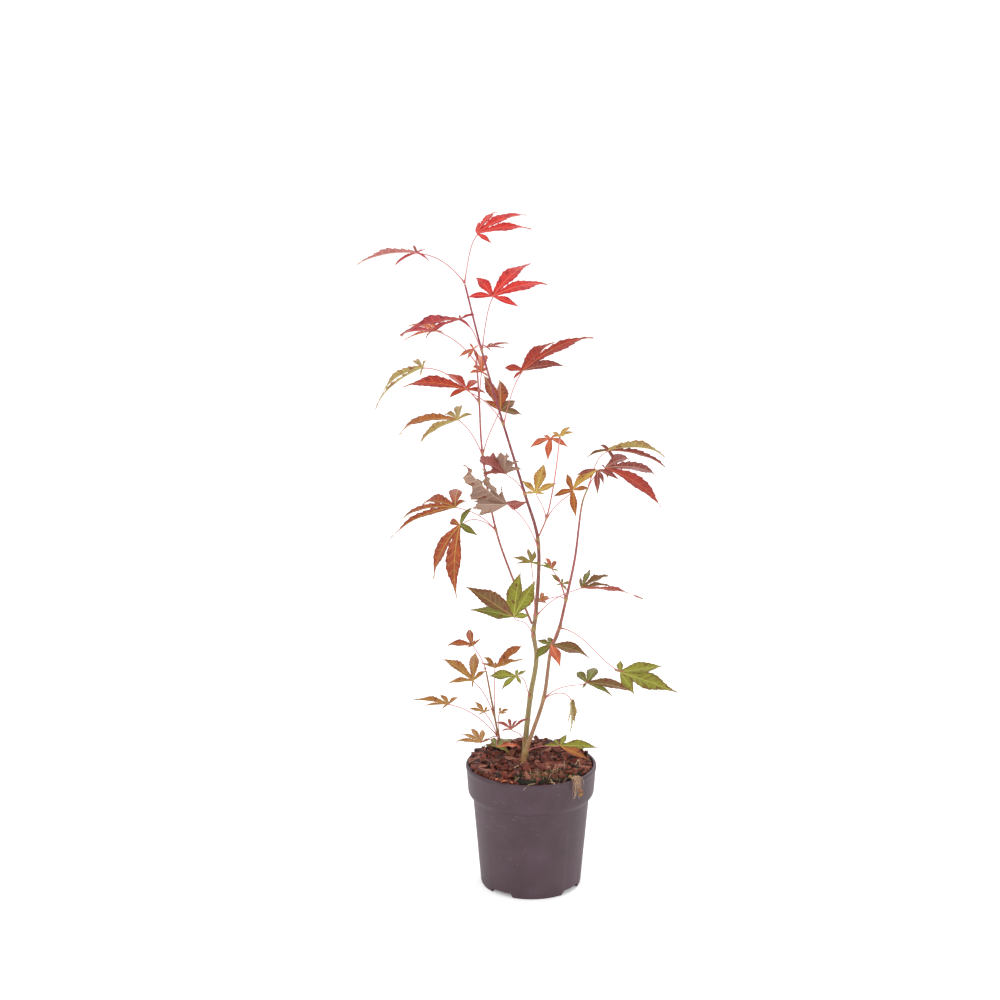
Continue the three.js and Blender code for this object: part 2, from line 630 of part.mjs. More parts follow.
function place(name, geometry, material) {
  const mesh = new THREE.Mesh(geometry, material);
  mesh.name = name;
  plant.add(mesh);
}

place('pot', potShell(), finish.pot);
place('compost', compost(), finish.compost);
place('bark_mulch', mulch(), finish.bark);

for (const [name, limb] of Object.entries(limbs)) {
  place(name, closed(rod(curves[name], radii[name], 8, limb.steps)), finish.youngWood);
}

for (const [name, spray] of Object.entries(sprays)) {
  place(`spray_${name}`, spraySolid(spray), sprayFinish[name] ?? finish.bronzeLeaf);
}

export default plant;
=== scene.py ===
"""A young Japanese maple with several slim stems, in a round moulded nursery pot with bark mulch.

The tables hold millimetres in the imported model's own frame, +Z up: the origin is the middle of the
pot's flat underside and the front is -Y. Meshes are computed as numpy arrays in millimetres, and the
function `piece` turns them to metres as it makes the object.
"""

import math

import bmesh
import bpy
import numpy as np
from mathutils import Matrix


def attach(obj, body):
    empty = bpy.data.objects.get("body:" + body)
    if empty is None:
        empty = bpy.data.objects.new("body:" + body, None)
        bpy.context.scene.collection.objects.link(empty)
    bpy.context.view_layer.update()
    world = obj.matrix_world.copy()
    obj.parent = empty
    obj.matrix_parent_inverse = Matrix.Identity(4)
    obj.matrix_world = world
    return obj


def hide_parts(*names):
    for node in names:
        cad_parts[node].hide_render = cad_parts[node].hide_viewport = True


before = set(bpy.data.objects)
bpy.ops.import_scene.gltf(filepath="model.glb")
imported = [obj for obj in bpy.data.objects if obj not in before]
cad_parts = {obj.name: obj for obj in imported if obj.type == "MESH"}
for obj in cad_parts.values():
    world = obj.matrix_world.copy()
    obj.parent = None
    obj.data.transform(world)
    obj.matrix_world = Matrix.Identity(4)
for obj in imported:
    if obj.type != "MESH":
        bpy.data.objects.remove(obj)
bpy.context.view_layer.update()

MM = 0.001
TURN = 2 * math.pi
BODY = "root"

# ---------------------------------------------------------------- materials


def linear(colour):
    """An sRGB hex colour as the linear red, green, blue and alpha that shaders take."""
    channels = [int(colour[i:i + 2], 16) / 255 for i in (1, 3, 5)]
    return [c / 12.92 if c <= 0.04045 else ((c + 0.055) / 1.055) ** 2.4 for c in channels] + [1.0]


def add(tree, kind, inputs=None, **settings):
    """Adds a node. An input is given by name or number, as a value or as the socket that feeds it."""
    node = tree.nodes.new(kind)
    for name, value in settings.items():
        setattr(node, name, value)
    for key, value in (inputs or {}).items():
        if isinstance(value, bpy.types.NodeSocket):
            tree.links.new(value, node.inputs[key])
        else:
            node.inputs[key].default_value = value
    return node


def new_material(name):
    """An empty material and its node tree."""
    material = bpy.data.materials.new(name)
    material.use_nodes = True
    material.node_tree.nodes.clear()
    return material, material.node_tree


def surfaced(material, inputs):
    """Gives a material its surface: one Principled shader with these inputs."""
    tree = material.node_tree
    shader = add(tree, "ShaderNodeBsdfPrincipled", inputs)
    add(tree, "ShaderNodeOutputMaterial", {0: shader.outputs[0]})
    return material


def plain_material(name, colour, roughness, ior=1.45, **more):
    """A material of one tint."""
    material, _ = new_material(name)
    return surfaced(material, {"Base Color": linear(colour), "Roughness": roughness, "IOR": ior, **more})


def own_place(tree):
    """The place of each shaded point on its piece, in metres."""
    return add(tree, "ShaderNodeTexCoord").outputs["Object"]


def noise(tree, place, width, detail):
    """Cloudy noise about 0.5 whose clouds are `width` millimetres wide."""
    return add(tree, "ShaderNodeTexNoise",
               {0: place, "Scale": 1 / (width * MM), "Detail": detail}).outputs[0]


def cells(tree, place, width):
    """The distance from the middle of the nearest of many cells that are `width` millimetres wide."""
    return add(tree, "ShaderNodeTexVoronoi", {0: place, "Scale": 1 / (width * MM)}).outputs["Distance"]


def remap(tree, value, low, high, to_low=0, to_high=1):
    """A value between low and high, as one between to_low and to_high."""
    return add(tree, "ShaderNodeMapRange", {0: value, 1: low, 2: high, 3: to_low, 4: to_high}).outputs[0]


def ramp(tree, value, stops):
    """Colours along a value, out of (place, sRGB colour) stops in rising order."""
    node = add(tree, "ShaderNodeValToRGB", {0: value})
    first, *between, last = stops
    for element, (place, colour) in zip(node.color_ramp.elements, (first, last)):
        element.position = place
        element.color = linear(colour)
    for place, colour in between:
        node.color_ramp.elements.new(place).color = linear(colour)
    return node.outputs[0]


def calculate(tree, operation, first, second):
    """Two values, such as fields of noise, made into one."""
    return add(tree, "ShaderNodeMath", {0: first, 1: second}, operation=operation).outputs[0]


def mixed(tree, share, under, over, blend="MIX"):
    """One colour over another, as far as the share goes."""
    return add(tree, "ShaderNodeMix", {0: share, 6: under, 7: over},
               data_type="RGBA", blend_type=blend).outputs[2]


def stored(tree, label):
    """A number that the piece keeps on its points."""
    return add(tree, "ShaderNodeAttribute", attribute_name=label).outputs[2]


def bump(tree, height, strength, depth):
    """A normal for fine relief, `depth` metres deep."""
    return add(tree, "ShaderNodeBump",
               {"Strength": strength, "Distance": depth, "Height": height}).outputs[0]


# ---------------------------------------------------------------- camera, floor and lights


def link_object(name, data):
    """An object with this data, in the scene."""
    thing = bpy.data.objects.new(name, data)
    bpy.context.scene.collection.objects.link(thing)
    return thing


LENS, SENSOR = 76.716, 36  # millimetres
CAMERA_AT = (-0.03099, -2.0, 0.88)  # metres
CAMERA_TILT = 76.34  # degrees up from straight down


def make_camera():
    """A long lens two metres in front of the plant, a little above its tip, looking slightly down."""
    camera = bpy.data.cameras.new("camera")
    camera.lens = LENS
    camera.sensor_width = SENSOR
    camera.clip_start = 0.05
    camera.clip_end = 50
    seat = link_object("camera", camera)
    seat.location = CAMERA_AT
    seat.rotation_euler = (math.radians(CAMERA_TILT), 0, 0)
    bpy.context.scene.camera = seat


PAPER_FRONT, PAPER_HALF_WIDTH, PAPER_ROWS = 3.0, 7, 60  # the first two in metres
PAPER_FLAT, PAPER_BEND, PAPER_WALL = 6.0, 1.5, 6.0  # metres on the ground, radius, metres upright


def make_floor():
    """A wide sheet of white paper, lit a little from behind, that rises in a soft curve at the back."""
    flat, bend, wall = PAPER_FLAT, PAPER_BEND, PAPER_WALL
    along = np.linspace(0, 1, PAPER_ROWS)
    length = flat + bend * math.pi / 2 + wall
    run = along * length
    angle = np.clip((run - flat) / bend, 0, math.pi / 2)
    depth = np.minimum(run, flat) + bend * np.sin(angle)
    rise = bend * (1 - np.cos(angle)) + np.maximum(run - flat - bend * math.pi / 2, 0)
    across = np.linspace(-PAPER_HALF_WIDTH, PAPER_HALF_WIDTH, 3)
    rows = np.stack(np.broadcast_arrays(across[None, :], depth[:, None] - PAPER_FRONT, rise[:, None]), -1)
    mesh = bpy.data.meshes.new("floor")
    mesh.from_pydata(rows.reshape(-1, 3).tolist(), [], grid_faces(PAPER_ROWS, 3)[:, ::-1].tolist())
    mesh.polygons.foreach_set("use_smooth", np.ones(len(mesh.polygons), bool))
    glow = {"Emission Color": linear("#ffffff"), "Emission Strength": 0.2}
    mesh.materials.append(plain_material("matt white paper", "#fbfbfb", 0.9, ior=1.5, **glow))
    link_object("floor", mesh)


def make_lights():
    """A bright even room, a large soft lamp from the upper left front and weaker ones beside and behind."""
    world = bpy.data.worlds.new("studio")
    bpy.context.scene.world = world
    world.use_nodes = True
    background = world.node_tree.nodes["Background"]
    background.inputs[0].default_value = linear("#ffffff")
    background.inputs[1].default_value = 1.0
    lamps = {  # place and width in metres, watts
        "key": ((-1.5, -1.9, 2.1), 1.3, 24),
        "fill": ((1.9, -1.2, 1.0), 1.4, 8),
        "back": ((0.9, 1.6, 1.6), 1.2, 16),
    }
    target = np.array([-0.02, 0, 0.33])
    for name, (place, size, watts) in lamps.items():
        lamp = bpy.data.lights.new(name, "AREA")
        lamp.size = size
        lamp.energy = watts
        seat = link_object(name, lamp)
        seat.location = place
        aim = target - np.array(place)
        seat.rotation_euler = (math.atan2(math.hypot(aim[0], aim[1]), -aim[2]), 0,
                               math.atan2(-aim[0], aim[1]))


# ---------------------------------------------------------------- meshes


def grid_faces(rows, columns, closed=False):
    """The quads of a grid of points, row after row. `closed` joins the last column to the first."""
    row = np.arange(rows - 1)[:, None] * columns
    column = np.arange(columns if closed else columns - 1)[None, :]
    beside = (column + 1) % columns
    corners = [row + column, row + beside, row + columns + beside, row + columns + column]
    return np.stack(corners, -1).reshape(-1, 4)


def copied(patch, count, stride):
    """The faces of a body that comes `count` times, with `stride` points each."""
    return (patch[None] + np.arange(count)[:, None, None] * stride).reshape(-1, 4)


def polar(out, bearing, height):
    """Points at a distance from the pot's axis, a bearing and a height."""
    return np.stack(np.broadcast_arrays(out * np.cos(bearing), out * np.sin(bearing), height), -1)


def joined(parts):
    """One mesh out of (points, faces, slots) parts: their arrays in a row, the faces renumbered."""
    starts = np.cumsum([0] + [len(points) for points, _, _ in parts[:-1]])
    points = np.concatenate([part[0] for part in parts])
    faces = np.concatenate([part[1] + start for part, start in zip(parts, starts)])
    return points, faces, np.concatenate([part[2] for part in parts])


def piece(name, shape, materials, slot, replaces=(), smooth_angle=50, weld=0.002, **values):
    """An object out of a (points, faces, slots) shape in millimetres.

    Points closer than `weld` millimetres become one, edges sharper than `smooth_angle` stay sharp, and
    each of `values` becomes a number that is stored on the points.
    """
    points, faces, slots = shape
    mesh = bpy.data.meshes.new(name)
    mesh.from_pydata((points * MM).tolist(), [], faces.tolist())
    for label, numbers in values.items():
        mesh.attributes.new(label, "FLOAT", "POINT").data.foreach_set("value", numbers.astype(np.float32))
    mesh.polygons.foreach_set("material_index", slots.astype(np.int32))
    for material in materials:
        mesh.materials.append(material)
    work = bmesh.new()
    work.from_mesh(mesh)
    bmesh.ops.remove_doubles(work, verts=work.verts, dist=weld * MM)
    bmesh.ops.dissolve_degenerate(work, edges=work.edges, dist=weld * MM / 4)
    work.to_mesh(mesh)
    work.free()
    mesh.polygons.foreach_set("use_smooth", np.ones(len(mesh.polygons), bool))
    mesh.set_sharp_from_angle(angle=math.radians(smooth_angle))
    thing = link_object(name, mesh)
    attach(thing, BODY)
    if replaces:
        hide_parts(*replaces)
    return thing


def smooth_curve(points, per_span=30):
    """A centripetal Catmull-Rom curve: points along it, and the share of its length up to each.

    Between two points the curve is a cubic whose slopes come from the neighbours, weighted by the square
    roots of the distances. Beyond each end the neighbour is the end point mirrored.
    """
    points = np.asarray(points, float)
    chain = np.vstack([2 * points[0] - points[1], points, 2 * points[-1] - points[-2]])
    root = np.sqrt(np.linalg.norm(np.diff(chain, axis=0), axis=1))[:, None]
    before, span, after = root[:-2], root[1:-1], root[2:]
    p0, p1, p2, p3 = chain[:-3], chain[1:-2], chain[2:-1], chain[3:]
    leave = span * ((p1 - p0) / before - (p2 - p0) / (before + span) + (p2 - p1) / span)
    arrive = span * ((p2 - p1) / span - (p3 - p1) / (span + after) + (p3 - p2) / after)
    t = np.linspace(0, 1, per_span, endpoint=False)[None, :, None]
    p1, p2, leave, arrive = (a[:, None, :] for a in (p1, p2, leave, arrive))
    squared, cubed = 3 * (p2 - p1) - 2 * leave - arrive, 2 * (p1 - p2) + leave + arrive
    track = p1 + t * (leave + t * (squared + t * cubed))
    track = np.vstack([track.reshape(-1, points.shape[1]), points[-1]])
    run = np.concatenate([[0], np.cumsum(np.linalg.norm(np.diff(track, axis=0), axis=1))])
    return track, run / run[-1], run[-1]


def at_shares(curve, shares):
    """The points of a curve at the given shares of its length."""
    track, run, _ = curve
    return np.stack([np.interp(shares, run, track[:, i]) for i in range(track.shape[1])], -1)


def unit(vectors):
    """The vectors at a length of one."""
    return vectors / np.maximum(np.linalg.norm(vectors, axis=-1, keepdims=True), 1e-12)


def tube(path, radius, sides):
    """A round skin round a path, closed by a point at each end.

    Each ring stands square to the path, and its first point lies towards the world axis that the path
    stays farthest from. `radius` is one number a ring, or one a point.
    """
    tangent = unit(np.gradient(path, axis=0))
    reference = np.eye(3)[np.argmin(np.abs(tangent).max(axis=0))]
    first = unit(np.cross(np.cross(tangent, reference), tangent))
    second = np.cross(tangent, first)
    angle = np.arange(sides) * TURN / sides
    ring = first[:, None] * np.cos(angle)[None, :, None] + second[:, None] * np.sin(angle)[None, :, None]
    radius = np.broadcast_to(radius if np.ndim(radius) == 2 else np.asarray(radius)[:, None],
                             (len(path), sides))
    points = path[:, None] + ring * radius[..., None]
    start, end = (np.repeat(path[None, [i]], sides, 1) for i in (0, -1))
    points = np.concatenate([start, points, end])
    faces = grid_faces(len(path) + 2, sides, closed=True)
    return points.reshape(-1, 3), faces, np.zeros(len(faces), int)


# ---------------------------------------------------------------- limbs

UPRIGHT_FOOT = 6  # a standing limb starts upright
CLEARANCE = 0.3  # the gap that the solids keep between each other
FLARE_HEIGHT = 7
NEARBY = 0.002  # the share of a limb's length over which its direction is taken

# Each limb's through points, foot and tip radius and root flare are the solids' own. With a `taper` of 1
# it narrows evenly, with more it narrows sooner and with less later. `bark` gives the colour of its skin
# at heights above the ground.
limbs = {
    "leader": dict(
        through=[(-6, 4, 126), (-5, 5, 153), (-1, 6, 192), (5, 8, 232), (2, 8, 257), (4, 8, 275), (6, 4, 352),
                 (-7, 0, 400), (-28, -3, 470), (-49, -2, 543), (-64, 0, 603)],
        foot=3, tip=0.9, taper=1.6, flare=1.6,
        bark=[(126, "#8a7a4c"), (230, "#8c7c50"), (300, "#7c4a3e"), (400, "#7a3a40"), (600, "#8c3444")]),
    "left_bough": dict(
        on="leader", at_height=262,
        through=[(-21, 10, 319), (-35, 13, 361), (-48, 15, 437), (-51, 14, 488), (-53, 13, 523)],
        foot=1.2, tip=0.8, taper=0.85, flare=0,
        bark=[(262, "#8e5a4c"), (400, "#96484c"), (523, "#9c4a4a")]),
    "right_stem": dict(
        through=[(-7, -6, 126), (0, -7, 156), (12, -10, 196), (19, -14, 248), (25, -15, 263), (33, -17, 299),
                 (41, -19, 340), (48, -20, 397), (53, -20, 411)],
        foot=2.2, tip=0.8, taper=0.85, flare=1.1,
        bark=[(126, "#96704c"), (230, "#8a6248"), (290, "#8a4a44"), (380, "#8e4648"), (404, "#8c7044")]),
    "side_twig": dict(
        on="leader", at_height=354,
        through=[(14, -3, 377), (21, -8, 414), (26, -10, 456)],
        foot=0.8, tip=0.6, taper=0.85, flare=0,
        bark=[(354, "#a05a50"), (456, "#c87a78")]),
    "basal_shoot": dict(
        through=[(-32, 44, 126), (-37, 43, 161), (-45, 36, 209)],
        foot=1.2, tip=0.8, taper=0.85, flare=0.5,
        bark=[(126, "#8a6e40"), (209, "#8e5e3c")]),
}


def limb_radius(limb, share):
    """Thinner with length, and swollen where a standing limb leaves the mulch."""
    share = np.asarray(share, float)
    narrowing = (limb["foot"] - limb["tip"]) * (1 - share) ** limb["taper"]
    return limb["tip"] + narrowing + limb["flare"] * np.exp(-share * limb["curve"][2] / FLARE_HEIGHT)


def share_at_height(limb, height):
    """The share of a limb's length at which it reaches a height. Every limb climbs all the way."""
    track, run, _ = limb["curve"]
    return float(np.interp(height, track[:, 2], run))


def grow_limbs():
    """Gives each limb its curve: a side limb starts beside its parent, a standing one upright."""
    for limb in limbs.values():
        points = [np.array(p, float) for p in limb["through"]]
        if "on" in limb:
            parent = limbs[limb["on"]]
            share = share_at_height(parent, limb["at_height"])
            root = at_shares(parent["curve"], share)
            away = unit(points[0] - root)
            ahead = at_shares(parent["curve"], share + NEARBY)
            behind = at_shares(parent["curve"], share - NEARBY)
            tangent = unit(ahead - behind)
            sine = math.sqrt(1 - float(away @ tangent) ** 2)
            points.insert(0, root + away * (limb_radius(parent, share) + limb["foot"] + CLEARANCE) / sine)
        else:
            points[0][2] += CLEARANCE
            points.insert(1, points[0] + (0, 0, UPRIGHT_FOOT))
        limb["curve"] = smooth_curve(points)


# ---------------------------------------------------------------- leaves

# The looks of a leaf blade: the colour by the ribs, at the margins, at the lobes' tips, of the ribs and
# of the underside.
looks = {
    "scarlet": ("#c8322a", "#a82228", "#98242c", "#d8685a", "#c47870"),
    "shell": ("#b87670", "#a26460", "#a8887c", "#d4aca4", "#c8b2aa"),
    "blush": ("#b4444a", "#9a343c", "#9a4848", "#cc8a8a", "#c8a8a2"),
    "crimson": ("#a43c3c", "#842c34", "#7a3034", "#bc6a64", "#b4807a"),
    "plum": ("#8a3838", "#742c30", "#6c3030", "#b07068", "#8a4a44"),
    "rosy": ("#a0544a", "#8c3c3a", "#88443c", "#c08470", "#ac8c7c"),
    "brick": ("#aa3a28", "#8e2c26", "#862e2a", "#d4783c", "#a87460"),
    "maroon": ("#9a3428", "#842c24", "#8c4a34", "#c06444", "#a47c68"),
    "greyed": ("#8a5c46", "#74442f", "#80382e", "#b49a84", "#92776a"),
    "olive_red": ("#7e7634", "#74522f", "#a03c30", "#a4984e", "#8e8458"),
    "bronze": ("#6c542e", "#6c4028", "#7c3a2c", "#a48450", "#8a7456"),
    "green": ("#82842c", "#6c5e26", "#723c26", "#b0ae58", "#96945f"),
    "deep_green": ("#646c24", "#684e28", "#843c28", "#9c984a", "#827f50"),
    "rust": ("#9c4a28", "#7c3622", "#7c3e2e", "#b4984a", "#987460"),
    "tan_green": ("#a29054", "#8e6840", "#8a5038", "#c4b87e", "#aea280"),
    "orange": ("#bc6040", "#a04c36", "#964638", "#d49868", "#c09078"),
    "golden": ("#b08e44", "#9c6a36", "#965232", "#d4c068", "#c0a880"),
    "copper": ("#a05e2c", "#844628", "#7c3e2e", "#c0924a", "#a07a5c"),
    "tan": ("#a07438", "#8c542c", "#86442a", "#c0a05e", "#a88862"),
    "wine": ("#843e34", "#702e2a", "#6c302c", "#b48470", "#a08a76"),
}
TISSUE_STEPS = 5  # how many colours lead from the ribs to the margins
BLOTCH, TIP, SIDE_RIB, RIB, UNDERSIDE, LOOK_SLOTS = (TISSUE_STEPS + i for i in range(6))
PATCH_LONG, PATCH_WIDE = 17, 11  # how far apart the darker patches of a lobe lie, along it and across

VIEWPOINT = np.array([-31, -2000, 880])  # in front of the plant, where its leaves were set out from
SETTLING_ROUNDS = 30

# How a blade grows where its own entry says nothing else. `breadth` multiplies the width of the lobes,
# and `fold` is how far each half-lobe folds up, in degrees. `cut` is how far out the sinuses lie, `wave`
# how deep the margins wave and `curl` how far the tips curl down, as shares of a lobe's length. `lobes`
# gives single lobes other looks.
HABIT = dict(breadth=1, cut=0.13, fold=20, wave=0.008, curl=0.02, lobes={})
TWIST = 10  # degrees that a lobe may turn by, either way
SWEEP = 0.05  # how far a lobe may bend aside, as a share of its length


def leaf(at, back, droop, tips, look, **habit):
    """One leaf, set out as the solids have it, with its look and habit.

    Millimetres to the right and up are as they show from the VIEWPOINT. at: where the blade starts, in the
    frame. back: how far the blade's plane goes back for each millimetre to the right, and for each one
    up. droop: how far each lobe bends down between root and tip, in degrees. tips: where the five lobes
    end, from the blade's start, counterclockwise where the upper face shows.

    A lobe starts in the blade's plane and ends below it. The further it reaches, the further it sinks,
    so a few rounds settle how far it reaches in the plane to end at its tip.
    """
    at, back, tips = np.array(at, float), np.array(back, float), np.array(tips, float)
    droop = math.radians(droop)
    away = unit(at - VIEWPOINT)
    rightward = unit(np.cross(away, (0, 0, 1)))
    seen = np.array([rightward, np.cross(rightward, away), away])
    turning = np.sum(tips[:-1, 0] * tips[1:, 1] - tips[:-1, 1] * tips[1:, 0])
    face = np.sign(turning) / math.sqrt(1 + back @ back)
    spot = tips
    for _ in range(SETTLING_ROUNDS):
        reach = np.hypot(np.hypot(spot[:, 0], spot[:, 1]), spot @ back)
        spot = tips + face * math.tan(droop / 2) * reach[:, None] * back
    flat = np.column_stack([spot, spot @ back]) @ seen
    up = face * np.array([*back, -1]) @ seen
    along = unit(flat[2])
    left = np.cross(up, along)
    headings = np.arctan2(flat @ left, flat @ along)
    headings[:2] -= TURN * (headings[:2] > 0)
    headings[3:] += TURN * (headings[3:] < 0)
    lengths = np.linalg.norm(flat, axis=1) * droop / math.sin(droop)
    return dict(at=at, droop=droop, along=along, left=left, up=up, headings=headings,
                lengths=lengths, look=look, **(HABIT | habit))


